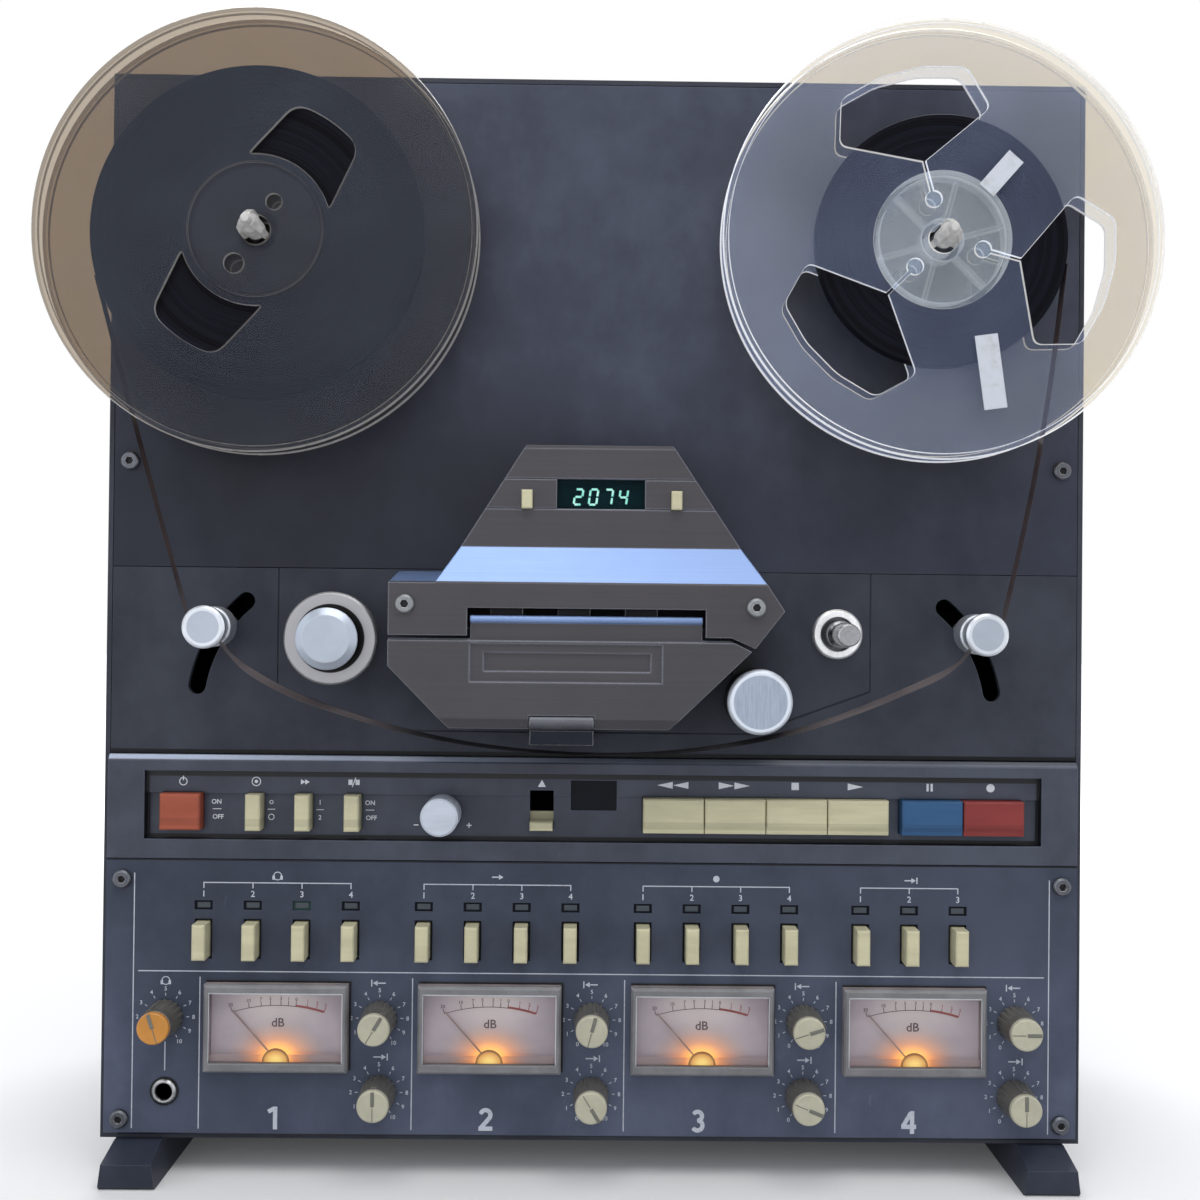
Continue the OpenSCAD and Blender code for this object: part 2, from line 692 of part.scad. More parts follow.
// What is hollow inside the housing
module housing_hollow() {
    w = cover_wall;
    wedge = [
        [counter_top - w, -past], [counter_top - w, counter_out - w], [slope_top - 1, counter_out - w],
        [slope_foot - 1, cover_out - w], [tip_low[1] - 3, cover_out - w], [tip_low[1] - 3, -past]
    ];
    cover = [
        [tip_low[1] - 3, -past], [cover_back_top - w, -past], [slope_foot - 1, cover_out - w],
        [tip_low[1] - 3, cover_out - w]
    ];
    inner_wedge = [
        [head_x - 30 + w, counter_top], [head_x - 66.2 + 1.3 * w, slope_foot - 2],
        [head_x + 68.1 - 1.3 * w, slope_foot - 2], [head_x + 29.6 - w, counter_top]
    ];
    inner_cover = [
        [cover_left + w, cover_back_top], [cover_left + w, tip_low[1] - 3], [tip_low[0] - 3, tip_low[1] - 3],
        [tip[0] - 1.5 * w, tip[1]], [66, slope_foot], [63, cover_back_top]
    ];
    profiled(inner_wedge, wedge, -90, 90);
    profiled(inner_cover, cover, -90, 90);
}

module head_housing() color("#45403f") front()
    difference() {
        housing_form();
        housing_hollow();
        slab([counter_x[0], counter_y[0]], [counter_x[1], counter_y[1]], counter_out - cover_wall - past,
             counter_out + past);
        for (y = counter_y) slab([-70, y - 0.25], [72, y + 0.25], counter_out - 0.5, counter_out + past);
        for (k = counter_keys)
            block(k, counter_key[0] + 2 * key_gap, counter_key[1] + 2 * key_gap,
                  counter_out - cover_wall - past, counter_out + past);
        for (s = cover_screws) rod(s, screw_d + screw_fit, plate_out, cover_out + past);
        slab([tip_low[0] - arm_notch, tip_low[1] - 5], [tip[0] + 3, slope_foot - 4], -past,
             2 * pinch_arm_lift + pinch_arm_t);
    }

// Tape heads and the plate that carries them behind the cover
module head_block() color("#a8a9a6") front() {
    outline = concat(
        [[plate_x[0], plate_y[0]], [plate_x[1], plate_y[0]]], plate_nose, [[plate_x[0], plate_y[1]]]
    );
    difference() {
        union() {
            translate([0, 0, plate_out]) linear_extrude(plate_t) polygon(outline);
            for (x = leg_xs) rod([x, leg_y], leg_d, 0, plate_out);
            for (s = cover_screws) rod(s, boss_screw_d, plate_out, cover_out - cover_wall);
        }
        for (s = cover_screws) rod(s, screw_d + screw_fit / 2, cover_out - cover_screw_l - 2, cover_out);
    }
    for (x = head_xs) head([x, head_y]);
    for (x = post_xs) {
        rod([x, head_y], post_d, plate_out + plate_t, flap_back - seal_gap);
        rod([x, head_y], post_collar_d, tape_out - groove_half - 2.5, tape_out - groove_half);
    }
}

// One head: a block with a round nose that the tape runs over
module head(c) {
    half = head_w / 2;
    swing = asin(half / head_nose_r);
    outline = concat(
        [[half, head_back], [-half, head_back]],
        arc([0, head_nose_r - head_nose], head_nose_r, 270 - swing, 270 + swing, 10)
    );
    translate([c[0], c[1], plate_out + plate_t])
        linear_extrude(flap_back - plate_out - plate_t - 1) polygon(outline);
}

module head_cover_flap() color("#45403f") front() {
    side = concat(
        [[flap_low, flap_back], [tongue_top, flap_back]],
        [for (a = [0:30:180]) [tongue_top - lip_r * (1 - cos(a)), tongue_out + lip_out * sin(a)]],
        [[cover_low - 2, tongue_out], [cover_low - 2, cover_out], [flap_low + bevel_y, cover_out],
         [flap_low, flap_back + 1.2]]
    );
    notch = hinge_w / 2 + knuckle_gap;
    difference() {
        profiled(flap_outline, side, -90, 90);
        slab([recess_x[0], recess_y[0]], [recess_x[1], recess_y[1]], cover_out - recess_t, cover_out + past);
        slab([plaque_x[0], plaque_y[0]], [plaque_x[1], plaque_y[1]], cover_out - recess_t - plaque_t,
             cover_out + past);
        translate([hinge_x - notch, hinge_y, hinge_out])
            rotate([0, 90, 0]) cylinder(r = knuckle_r + knuckle_gap, h = 2 * notch);
        slab([hinge_x - notch, flap_low - past], [hinge_x + notch, hinge_y], 0, cover_out + past);
    }
    translate([hinge_x - notch - 3, hinge_y, hinge_out])
        rotate([0, 90, 0]) cylinder(d = hinge_d, h = 2 * notch + 6);
}

// Screws, trim rings, the impedance roller's bearing and the flap's bracket
module deck_hardware() color("#9a9da0") front() {
    shank = panel_t + ledge_t + screw_past;
    for (x = [-screw_x, screw_x]) {
        screw([x, deck_screw_y], 0, shank);
        for (y = amp_screw_ys) screw([x, y], bezel_out, bezel_out + shank);
    }
    for (s = cover_screws) screw(s, cover_out, cover_screw_l);
    mirror([0, 0, 1])
        for (x = [-rear_screw_x, rear_screw_x], y = rear_screw_ys)
            screw([x, y], cabinet_d, 2 * ledge_t + screw_past);
    difference() {
        button_rod(capstan_xy, capstan_ring_d, 0, capstan_ring_t, 0.8);
        rod(capstan_xy, step_d + 3, -past, capstan_ring_t + past);
    }
    difference() {
        rod(roller_xy, boss_d, 0, boss_out);
        rod(roller_xy, roller_shaft_d + 2 * run_gap, -past, boss_out + past);
    }
    difference() {
        union() {
            translate([hinge_x - hinge_w / 2, hinge_y, hinge_out])
                rotate([0, 90, 0]) cylinder(r = knuckle_r, h = hinge_w);
            slab([hinge_x - hinge_w / 2, hinge_y - hinge_drop],
                 [hinge_x + hinge_w / 2, hinge_y - knuckle_r], 0, hinge_out);
            slab([hinge_x - hinge_w / 2, hinge_y - knuckle_r - past], [hinge_x + hinge_w / 2, hinge_y],
                 hinge_out - knuckle_r, hinge_out);
        }
        translate([hinge_x - hinge_w, hinge_y, hinge_out])
            rotate([0, 90, 0]) cylinder(r = hinge_d / 2 + run_gap, h = 2 * hinge_w);
    }
}

// A socket screw with a low head, under which its shank has length l
module screw(c, z, l) {
    difference() {
        button_rod(c, screw_head_d, z, z + screw_head_t, 0.7);
        translate([c[0], c[1], z + 0.6]) cylinder(d = screw_key, h = screw_head_t, $fn = 6);
    }
    rod(c, screw_d, z - l, z);
}

// Meters, windows and sockets

module vu_meter_cases() color("#6d6c70") front()
    for (i = [0:3])
        difference() {
            union() {
                meter_frame([meter_x(i), meter_y]);
                block([meter_x(i), window_y], window_w + 1.5, cavity_h + 1.5, case_back, bezel_out);
            }
            block([meter_x(i), window_y], window_w, window_h, dial_out, bezel_out + meter_out + past);
            block([meter_x(i), window_y - 1], window_w, cavity_h - 1.2, dial_out,
                  bezel_out + meter_out - lens_t - 1);
            block([meter_x(i), window_y], window_w + 1, window_h + 1, bezel_out + meter_out - lens_t - 0.8,
                  bezel_out + meter_out - 0.6);
            rod([meter_x(i), pivot_y], needle_pin_d + 2 * run_gap, dial_out - 4, dial_out + past);
        }

// A meter's frame, drawn in at the front
module meter_frame(c)
    key(c, meter_w, meter_h, bezel_out, bezel_out + meter_out, 1);

module clear_windows() color("#6f8f88") front() {
    for (i = [0:3])
        block([meter_x(i), window_y], window_w + 0.9, window_h + 0.9, bezel_out + meter_out - lens_t - 0.75,
              bezel_out + meter_out - 0.7);
    slab([counter_x[0] + 0.1, counter_y[0] + 0.1], [counter_x[1] - 0.1, counter_y[1] - 0.1],
         counter_out - cover_wall, counter_out - 0.8);
    block([dark_x, dark_y], dark_w - 0.2, dark_h - 0.2, -panel_t, -panel_t + 1.2);
    for (b = banks, i = [0:b[1] - 1])
        block([b[0] + i * select_pitch, lamp_y], lamp_w - 0.2, lamp_h - 0.2, bezel_out - 0.6 - lamp_t,
              bezel_out - 0.6);
}

module sockets() color("#8d8f92") front() {
    difference() {
        union() {
            button_rod([phones_x, knob_ys[1]], jack_d, bezel_out, bezel_out + jack_out, 0.8);
            rod([phones_x, knob_ys[1]], jack_hole - 0.4, -jack_l, bezel_out);
        }
        rod([phones_x, knob_ys[1]], jack_bore, 3 - jack_l, bezel_out + jack_out + past);
        translate([phones_x, knob_ys[1], bezel_out + jack_out - jack_sink])
            cylinder(d1 = jack_bore, d2 = 2 * jack_mouth - jack_bore, h = 2 * jack_sink);
    }
    for (row = [0:1], i = [0:3]) phono([socket_x0 + i * socket_pitch, socket_y + row * socket_pitch]);
    difference() {
        union() {
            rod([gland_x, socket_y], gland_flange_d, -cabinet_d - gland_out, -cabinet_d);
            rod([gland_x, socket_y], gland_d, -cabinet_d, -cabinet_d + socket_in);
        }
        rod([gland_x, socket_y], gland_bore, -cabinet_d - gland_out - past, -cabinet_d + socket_in + past);
    }
}

// A phono socket: its flange lies on the rear cover
module phono(c)
    difference() {
        union() {
            rod(c, socket_d, -cabinet_d - socket_l, -cabinet_d + socket_in);
            rod(c, socket_d + 4, -cabinet_d - 1.5, -cabinet_d);
        }
        rod(c, socket_bore, -cabinet_d - socket_l - past, -cabinet_d + socket_in - 3);
    }

// The main board on its posts, and the mains transformer on the cabinet's floor
module electronics() color("#3d6b46") front() {
    low = base_y + board_lift;
    slab([board_x - board_w / 2, low], [board_x + board_w / 2, low + board_t], board_z - board_d / 2,
         board_z + board_d / 2);
    for (i = [0:3])
        translate([board_x - 75 + i * 50, low + board_t, board_z - 20])
            rotate([-90, 0, 0]) cylinder(d = 18, h = 26);
    slab([board_x - 80, low + board_t], [board_x + 80, low + board_t + 22], board_z + 18, board_z + 24);
    translate([transformer_x, base_y, board_z])
        translate([-transformer[0] / 2, 0, -transformer[2] / 2]) cube(transformer);
}

// Drive

module drive_motors() color("#7d8084") front() {
    for (x = reel_xs)
        difference() {
            union() {
                button_rod([x, reel_y], motor_d, -panel_t - motor_l, -panel_t, 2);
                rod([x, reel_y], motor_hole_d - 1, -panel_t, -0.5);
            }
            rod([x, reel_y], shaft_d + 2 * run_gap, -panel_t - motor_l + 6, past);
        }
    capstan_motor();
}

// The capstan's motor: a bearing tube against the panel, and a drum with the rotor inside
module capstan_motor() {
    back = capstan_motor_front - capstan_motor_l;
    room_front = capstan_motor_front - 5;
    difference() {
        union() {
            rod(capstan_xy, step_d + 14, capstan_motor_front, -panel_t);
            rod(capstan_xy, capstan_motor_d, back, capstan_motor_front);
        }
        rod(capstan_xy, step_d + 2 * run_gap, room_front - past, 0);
        rod(capstan_xy, rotor_d + 2 * rotor_gap, room_front - rotor_l - 2 * rotor_gap, room_front);
    }
}

module capstan() color("#b9bcc0") front() {
    rotor_front = capstan_motor_front - 5 - rotor_gap;
    rotor_back = rotor_front - rotor_l;
    tip_out = tape_out + groove_half + 1.5;
    translate([capstan_xy[0], capstan_xy[1], 0])
        rotate_extrude()
            polygon([
                [0, rotor_back], [rotor_d / 2, rotor_back], [rotor_d / 2, rotor_front],
                [step_d / 2, rotor_front], [step_d / 2, pinch_back - 2], [capstan_d / 2, pinch_back - 1],
                [capstan_d / 2, tip_out - 0.6], [capstan_d / 2 - 0.6, tip_out], [0, tip_out]
            ]);
}

module impedance_roller() color("#b9bcc0") front() {
    back = boss_out + seal_gap;
    low = tape_out - groove_half;
    high = tape_out + groove_half;
    cap = high + 2.6;
    translate([roller_xy[0], roller_xy[1], 0])
        rotate_extrude()
            polygon([
                [0, -panel_t - 6], [roller_shaft_d / 2, -panel_t - 6], [roller_shaft_d / 2, back],
                [roller_flange_d / 2, back], [roller_flange_d / 2, low - 0.8],
                [roller_flange_d / 2 - 0.8, low],
                [roller_cap_d / 2 - 2.4, low], [roller_cap_d / 2 - 2.4, high], [roller_cap_d / 2, high],
                [roller_cap_d / 2, cap - 2], [roller_cap_d / 2 - 3, cap], [0, cap]
            ]);
}

// A tension arm behind the deck, its hub round the stud, and the tape guide in front
module tension_arm(side) color("#b9bcc0") front()
    mirror([side < 0 ? 1 : 0, 0, 0])
        translate([arm_pivot_x, arm_pivot_y, 0])
            rotate([0, 0, arm_angle]) {
                groove = tape_out - groove_half;
                difference() {
                    union() {
                        rod([0, 0], arm_hub_d, arm_back, arm_back + arm_t);
                        slab([0, -arm_w / 2], [arm_r, arm_w / 2], arm_back, arm_back + arm_t);
                        rod([arm_r, 0], arm_end_d, arm_back, arm_back + arm_t);
                    }
                    rod([0, 0], stud_d + 2 * run_gap, arm_back - past, arm_back + arm_t + past);
                }
                translate([arm_r, 0, 0])
                    rotate_extrude()
                        polygon([
                            [0, arm_back + arm_t / 2], [stem_d / 2, arm_back + arm_t / 2],
                            [stem_d / 2, guide_back], [guide_d / 2 - 1, guide_back],
                            [guide_d / 2 - 0.3, guide_back + 0.8], [guide_d / 2 - 0.3, groove - 0.6],
                            [guide_d / 2 - 0.9, groove], [guide_groove_r - 0.6, groove],
                            [guide_groove_r - 0.6, tape_out + groove_half],
                            [guide_d / 2, tape_out + groove_half], [guide_d / 2, guide_front - 0.9],
                            [guide_d / 2 - 0.9, guide_front], [0, guide_front]
                        ]);
            }

module supply_tension_arm() tension_arm(-1);

module takeup_tension_arm() tension_arm(1);

module pinch_arm() color("#26272b") front() {
    way = pinch_xy - pinch_pivot;
    high = pinch_arm_lift + pinch_arm_t;
    difference() {
        union() {
            rod(pinch_pivot, stud_d + 7, pinch_arm_lift, high);
            translate([pinch_pivot[0], pinch_pivot[1], pinch_arm_lift])
                rotate([0, 0, atan2(way[1], way[0])])
                    translate([pinch_bar_w / 2, -pinch_bar_w / 2, 0])
                        cube([pinch_arm_r - pinch_bar_w, pinch_bar_w, pinch_arm_t]);
            rod(pinch_xy, stud_d + 8, pinch_arm_lift, high);
            rod(pinch_xy, stud_d, pinch_arm_lift + 1, pinch_front - 4);
        }
        rod(pinch_pivot, stud_d + 2 * run_gap, 0, high + past);
    }
}

module pinch_roller() color("#202124") front() {
    cap = tape_out + 6;
    difference() {
        union() {
            rod(pinch_xy, pinch_d, pinch_back, pinch_front - 2);
            button_rod(pinch_xy, pinch_cap_d, pinch_front - 2, cap, 1);
        }
        rod(pinch_xy, stud_d + 2 * run_gap, pinch_back - past, pinch_front - 3.5);
        difference() {
            rod(pinch_xy, 15, pinch_back - past, pinch_back + 2);
            rod(pinch_xy, 10, pinch_back - past, pinch_back + 2);
        }
    }
}

// Reels

// The axis hole of a reel: a round bore with three notches
module axis_hole(z0, z1) {
    translate([0, 0, z0])
        linear_extrude(z1 - z0) {
            circle(spindle_hole_r);
            for (a = [90, 210, 330])
                rotate(a) translate([0, -fin_w / 2 - fin_gap]) square([fin_r + fin_gap, fin_w + 2 * fin_gap]);
        }
}

// Both flanges with their rim beads, and the hub between them
module reel_body()
    rotate_extrude($fn = 128)
        polygon([
            [0, reel_back], [reel_d / 2 - 2.4, reel_back], [reel_d / 2 - 1, reel_back - rim_bead],
            [reel_d / 2, reel_back],
            [reel_d / 2, reel_back + flange_t], [hub_r, reel_back + flange_t], [hub_r, reel_front - flange_t],
            [reel_d / 2, reel_front - flange_t], [reel_d / 2, reel_front],
            [reel_d / 2 - 1, reel_front + rim_bead], [reel_d / 2 - 2.4, reel_front], [0, reel_front]
        ]);

// Window of the left reel: wider at the hub than at its outer arc
function hub_window(a) = concat(
    arc([0, 0], hub_r + 2.5, a - 40, a + 40, 8),
    arc([0, 0], hub_r + 24.8, a + 17, a - 17, 4)
);

// Window of the right reel: a point at the hub that opens to a broad outer arc
function fan_window(a) = concat(
    [polar(hub_r + 1.8, a), polar(hub_r + 28, a + 34)],
    arc([0, 0], hub_r + 41.5, a + 22, a - 22, 6),
    [polar(hub_r + 28, a - 34)]
);

module reel_windows(outlines)
    translate([0, 0, reel_back - past])
        linear_extrude(reel_t + 2 * past)
            for (o = outlines) polygon(rounded(o, 4, 3));

module supply_reel() color("#4a4a50") front()
    translate([reel_xs[0], reel_y, 0])
        difference() {
            reel_body();
            reel_windows([for (a = [56, 236]) hub_window(a)]);
            axis_hole(reel_back - past, reel_front + past);
            translate(polar(16, 238)) rod([0, 0], 8, reel_back - past, reel_front + past);
            translate(polar(13.4, 57)) rod([0, 0], 6.5, reel_front - 3, reel_front + past);
            difference() {
                rod([0, 0], 54.6, reel_front - 0.5, reel_front + past);
                rod([0, 0], 53.4, reel_front - 0.6, reel_front + 2 * past);
            }
        }

module takeup_reel() color("#c9ced2") front()
    translate([reel_xs[1], reel_y, 0])
        difference() {
            reel_body();
            reel_windows([for (a = [105, 225, 345]) fan_window(a)]);
            axis_hole(reel_back - past, reel_front + past);
            for (a = [105, 225, 345])
                translate(polar(16.3, a)) rod([0, 0], 6.6, reel_back - past, reel_front + past);
        }

// A wound pack of tape, a little clear of the hub
module tape_pack(x, r) color("#2a2422") front()
    translate([x, reel_y, tape_out - tape_w / 2])
        difference() {
            cylinder(r = r, h = tape_w);
            translate([0, 0, -past]) cylinder(r = hub_r + run_gap, h = tape_w + 2 * past);
        }

module supply_tape_pack() tape_pack(reel_xs[0], supply_pack_r);

module takeup_tape_pack() tape_pack(reel_xs[1], takeup_pack_r);

// The reel table, the motor shaft behind it and the three-finned spindle in front
module spindle(x) color("#c4c6c8") front()
    translate([x, reel_y, 0]) {
        core = spindle_hole_r - 0.4;
        rotate_extrude()
            polygon([
                [0, -panel_t - motor_l + 8], [shaft_d / 2, -panel_t - motor_l + 8], [shaft_d / 2, table_lift],
                [table_d / 2, table_lift], [table_d / 2, reel_back - 1.2], [table_d / 2 - 1.2, reel_back],
                [core, reel_back], [core, spindle_out - 7], [core - 2.4, spindle_out], [0, spindle_out]
            ]);
        for (a = [90, 210, 330])
            rotate([90, 0, a])
                translate([0, 0, -fin_w / 2])
                    linear_extrude(fin_w)
                        polygon([
                            [0, reel_back - 1], [fin_r, reel_back - 1], [fin_r, spindle_out - 9],
                            [core - 1.2, spindle_out - 3], [0, spindle_out - 3]
                        ]);
    }

module supply_spindle() spindle(reel_xs[0]);

module takeup_spindle() spindle(reel_xs[1]);

// The tape's free run as one ribbon, from pack to pack round both guides
function guide_xy(side) = [
    side * (arm_pivot_x + arm_r * cos(arm_angle)), arm_pivot_y + arm_r * sin(arm_angle)
];

// Where the tape leaves a pack and meets a guide on the outside
function leave(side, r, g) =
    let (c = [side * reel_spacing / 2, reel_y], d = g - c, far = norm(d))
    let (turn = side * acos((r - guide_groove_r) / far), a = atan2(d[1], d[0]) + turn)
    [c + polar(r + seal_gap + tape_t / 2, a), g + polar(guide_groove_r + seal_gap + tape_t / 2, a), a];

tape_route = let (l = leave(-1, supply_pack_r, guide_xy(-1)), r = leave(1, takeup_pack_r, guide_xy(1)))
    let (wrap = guide_groove_r + seal_gap + tape_t / 2)
    concat(
        [for (t = [0:0.125:0.999]) l[0] + (l[1] - l[0]) * t],
        arc(guide_xy(-1), wrap, l[2] < 0 ? l[2] + 360 : l[2], 312, 5),
        [for (p = slack) [p[0], control_top + p[1]]],
        arc(guide_xy(1), wrap, -132, r[2], 5),
        [for (t = [0.125:0.125:1]) r[1] + (r[0] - r[1]) * t]
    );

// A ribbon of section t by w that follows a plane route
module ribbon(p, t, w) {
    n = len(p);
    side = [
        for (i = [0:n - 1])
            let (d = p[min(i + 1, n - 1)] - p[max(i - 1, 0)], u = d / norm(d))
            [-u[1], u[0]] * t / 2
    ];
    points = [
        for (i = [0:n - 1], q = [[1, -1], [1, 1], [-1, 1], [-1, -1]])
            [p[i][0] + q[0] * side[i][0], p[i][1] + q[0] * side[i][1], q[1] * w / 2]
    ];
    walls = [
        for (i = [0:n - 2], k = [0:3], f = [0:1])
            let (a = 4 * i + k, b = 4 * i + (k + 1) % 4)
            f == 0 ? [a, b, b + 4] : [a, b + 4, a + 4]
    ];
    e = 4 * (n - 1);
    polyhedron(points, concat([[0, 3, 2], [0, 2, 1]], walls, [[e, e + 1, e + 2], [e, e + 2, e + 3]]));
}

module tape() color("#3a2c26") front() translate([0, 0, tape_out]) ribbon(tape_route, tape_t, tape_w);

// Knobs and needles

// A fluted level knob with its pointer rib and its shaft
module level_knob(c, turn) color("#5a5a58") front() {
    z0 = bezel_out + knob_lift;
    cap_t = 2.4;
    body_h = knob_h - cap_t;
    cut = 0.6;
    flutes = [
        for (i = [0:4 * knob_flutes - 1])
            polar(knob_d / 2 - (i % 4 < 2 ? 0 : cut), i * 90 / knob_flutes)
    ];
    translate([c[0], c[1], 0])
        rotate([0, 0, turn]) {
            intersection() {
                translate([0, 0, z0]) linear_extrude(body_h) polygon(flutes);
                translate([0, 0, z0])
                    cylinder(d1 = knob_d, d2 = knob_cap_d + 0.4, h = body_h);
            }
            button_rod([0, 0], knob_cap_d, z0 + body_h - 0.2, z0 + knob_h, 0.5);
            slab([0, -0.9], [knob_cap_d / 2 + 0.9, 0.9], z0 + 1, z0 + body_h);
            rod([0, 0], knob_shaft_d, -panel_t - 8, z0 + 1);
        }
}

// Pointer directions of the knobs, from level
input_turns = [59, 75, 18, 0];
output_turns = [90, -58, -22, 90];
phones_turn = 108;

module input_knob(i) level_knob([knob_x0 + i * channel_pitch, knob_ys[0]], input_turns[i]);

module output_knob(i) level_knob([knob_x0 + i * channel_pitch, knob_ys[1]], output_turns[i]);

module phones_knob() level_knob([phones_x, knob_ys[0]], phones_turn);

module pitch_knob() color("#cfcfd2") front() {
    z0 = shelf_out + knob_lift;
    translate([pitch_xy[0], pitch_xy[1], 0]) {
        button_rod([0, 0], pitch_d, z0, z0 + pitch_h, 0.9);
        rod([0, 0], knob_shaft_d, -panel_t - 10, z0 + 1);
    }
}

module vu_needle(i) color("#2b2426") front()
    translate([meter_x(i), pivot_y, 0]) {
        rod([0, 0], needle_pin_d, dial_out - 3.5, dial_out + 1);
        rod([0, 0], needle_hub_d, dial_out + 0.5, dial_out + 2.4);
        rotate([0, 0, needle_rest]) slab([0, -0.3], [needle_l, 0.3], dial_out + 1.2, dial_out + 1.8);
    }

// Buttons and keys

module power_button() color("#b0463a") front()
    key([power_x, key_y], power_w, key_h + 0.6, -key_back, key_out, 0.7);

module slim_key(i) color("#cfc7a4") front()
    key([slim_xs[i], key_y], slim_w, key_h + 0.6, -key_back, key_out + 1, 0.6);

module transport_key(x, c) color(c) front()
    key([x, key_y], key_w, key_h, -key_back, key_out, 0.6, key_bevel);

module counter_key(i) color("#cfc7a4") front()
    key(counter_keys[i], counter_key[0], counter_key[1], counter_out - 8, counter_out + counter_key_out, 0.5);

module select_bank(b) color("#cfc7a4") front()
    for (i = [0:banks[b][1] - 1])
        key([banks[b][0] + i * select_pitch, select_y], select_w, select_h, -key_back, bezel_out + select_out,
            0.6);

// The cue lever: a finger tab on a slide behind the panel
module cue_lever() color("#cfc7a4") front() {
    y = cue_y - cue_h / 2 + key_gap + cue_lever_h / 2;
    key([cue_x, y], cue_w - 2 * key_gap, cue_lever_h, -panel_t - 2, key_out + 1, 0.5);
    slab([cue_x - cue_w / 2 - cue_slide, y - cue_slide - 1],
         [cue_x + cue_w / 2 + cue_slide, y + cue_slide + 2], -panel_t - 2.3, -panel_t - seal_gap);
}

case_shell();
rear_cover();
upper_deck_panel();
transport_panel();
control_panel();
amplifier_panel();
head_housing();
head_block();
vu_meter_cases();
clear_windows();
sockets();
skid_feet();
deck_hardware();
drive_motors();
electronics();
tape();
supply_reel();
supply_tape_pack();
supply_spindle();
takeup_reel();
takeup_tape_pack();
takeup_spindle();
supply_tension_arm();
takeup_tension_arm();
impedance_roller();
capstan();
pinch_arm();
pinch_roller();
head_cover_flap();
cue_lever();
pitch_knob();
phones_knob();
input_knob(0);  // input_knob_1
input_knob(1);  // input_knob_2
input_knob(2);  // input_knob_3
input_knob(3);  // input_knob_4
output_knob(0);  // output_knob_1
output_knob(1);  // output_knob_2
output_knob(2);  // output_knob_3
output_knob(3);  // output_knob_4
vu_needle(0);  // vu_needle_1
vu_needle(1);  // vu_needle_2
vu_needle(2);  // vu_needle_3
vu_needle(3);  // vu_needle_4
power_button();
slim_key(0);  // reel_size_button
slim_key(1);  // tape_speed_button
slim_key(2);  // edit_button
transport_key(key_x0, "#cfc7a4");  // rewind_button
transport_key(key_x0 + key_pitch, "#cfc7a4");  // fast_forward_button
transport_key(key_x0 + 2 * key_pitch, "#cfc7a4");  // stop_button
transport_key(key_x0 + 3 * key_pitch, "#cfc7a4");  // play_button
transport_key(pause_x0, "#3d6c96");  // pause_button
transport_key(pause_x0 + key_pitch, "#a8443e");  // record_button
counter_key(0);  // zero_return_button
counter_key(1);  // reset_button
select_bank(0);  // phones_select_buttons
select_bank(1);  // input_select_buttons
select_bank(2);  // function_select_buttons
select_bank(3);  // output_select_buttons
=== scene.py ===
"""Reel-to-reel tape recorder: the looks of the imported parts, and the soft and printed pieces."""

import random
from math import acos, atan2, cos, degrees, pi, radians, sin

import bmesh
import bpy
from mathutils import Matrix, Vector


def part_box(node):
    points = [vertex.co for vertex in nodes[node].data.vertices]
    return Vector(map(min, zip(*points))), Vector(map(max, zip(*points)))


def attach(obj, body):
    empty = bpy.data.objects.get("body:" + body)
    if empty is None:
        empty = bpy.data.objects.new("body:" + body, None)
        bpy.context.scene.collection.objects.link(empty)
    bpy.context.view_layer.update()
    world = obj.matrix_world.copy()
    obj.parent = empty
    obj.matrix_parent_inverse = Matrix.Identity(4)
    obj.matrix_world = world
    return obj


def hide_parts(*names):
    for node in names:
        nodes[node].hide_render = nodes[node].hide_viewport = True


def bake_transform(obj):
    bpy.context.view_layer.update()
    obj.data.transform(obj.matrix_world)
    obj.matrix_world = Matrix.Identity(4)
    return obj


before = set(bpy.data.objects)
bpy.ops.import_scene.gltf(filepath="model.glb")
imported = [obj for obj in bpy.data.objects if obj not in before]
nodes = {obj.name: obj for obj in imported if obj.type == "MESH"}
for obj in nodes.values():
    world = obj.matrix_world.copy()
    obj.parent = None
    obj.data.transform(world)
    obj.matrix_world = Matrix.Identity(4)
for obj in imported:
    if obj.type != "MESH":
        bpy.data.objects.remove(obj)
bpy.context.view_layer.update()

scene = bpy.context.scene
scene.view_settings.view_transform = "Standard"

# Camera: a little left of the middle, looking level at the front, as the photograph was taken.
view = bpy.data.cameras.new("front_view")
view.sensor_width = 36
view.lens = 39.91
camera = bpy.data.objects.new("front_view", view)
camera.location = (-0.003163, -0.642639, 0.236527)
camera.rotation_euler = (radians(90.516), radians(-0.597), radians(-0.491))
scene.collection.objects.link(camera)
scene.camera = camera

# Studio: a plain pale floor that takes the shadow and runs to white, a white surround, and large
# soft lamps in front, above, behind and at both sides.
black = (0, 0, 0, 1)
white = (1, 1, 1, 1)


def feed(socket, value):
    """Links a wire to a socket, or sets a plain value on it."""
    if isinstance(value, Wire):
        value.tree.links.new(value.socket, socket)
    else:
        socket.default_value = value


def fill(shader, **values):
    """Feeds a shader's sockets; an underscore stands for a space in a name."""
    for name, value in values.items():
        feed(shader.inputs[name.replace("_", " ")], value)


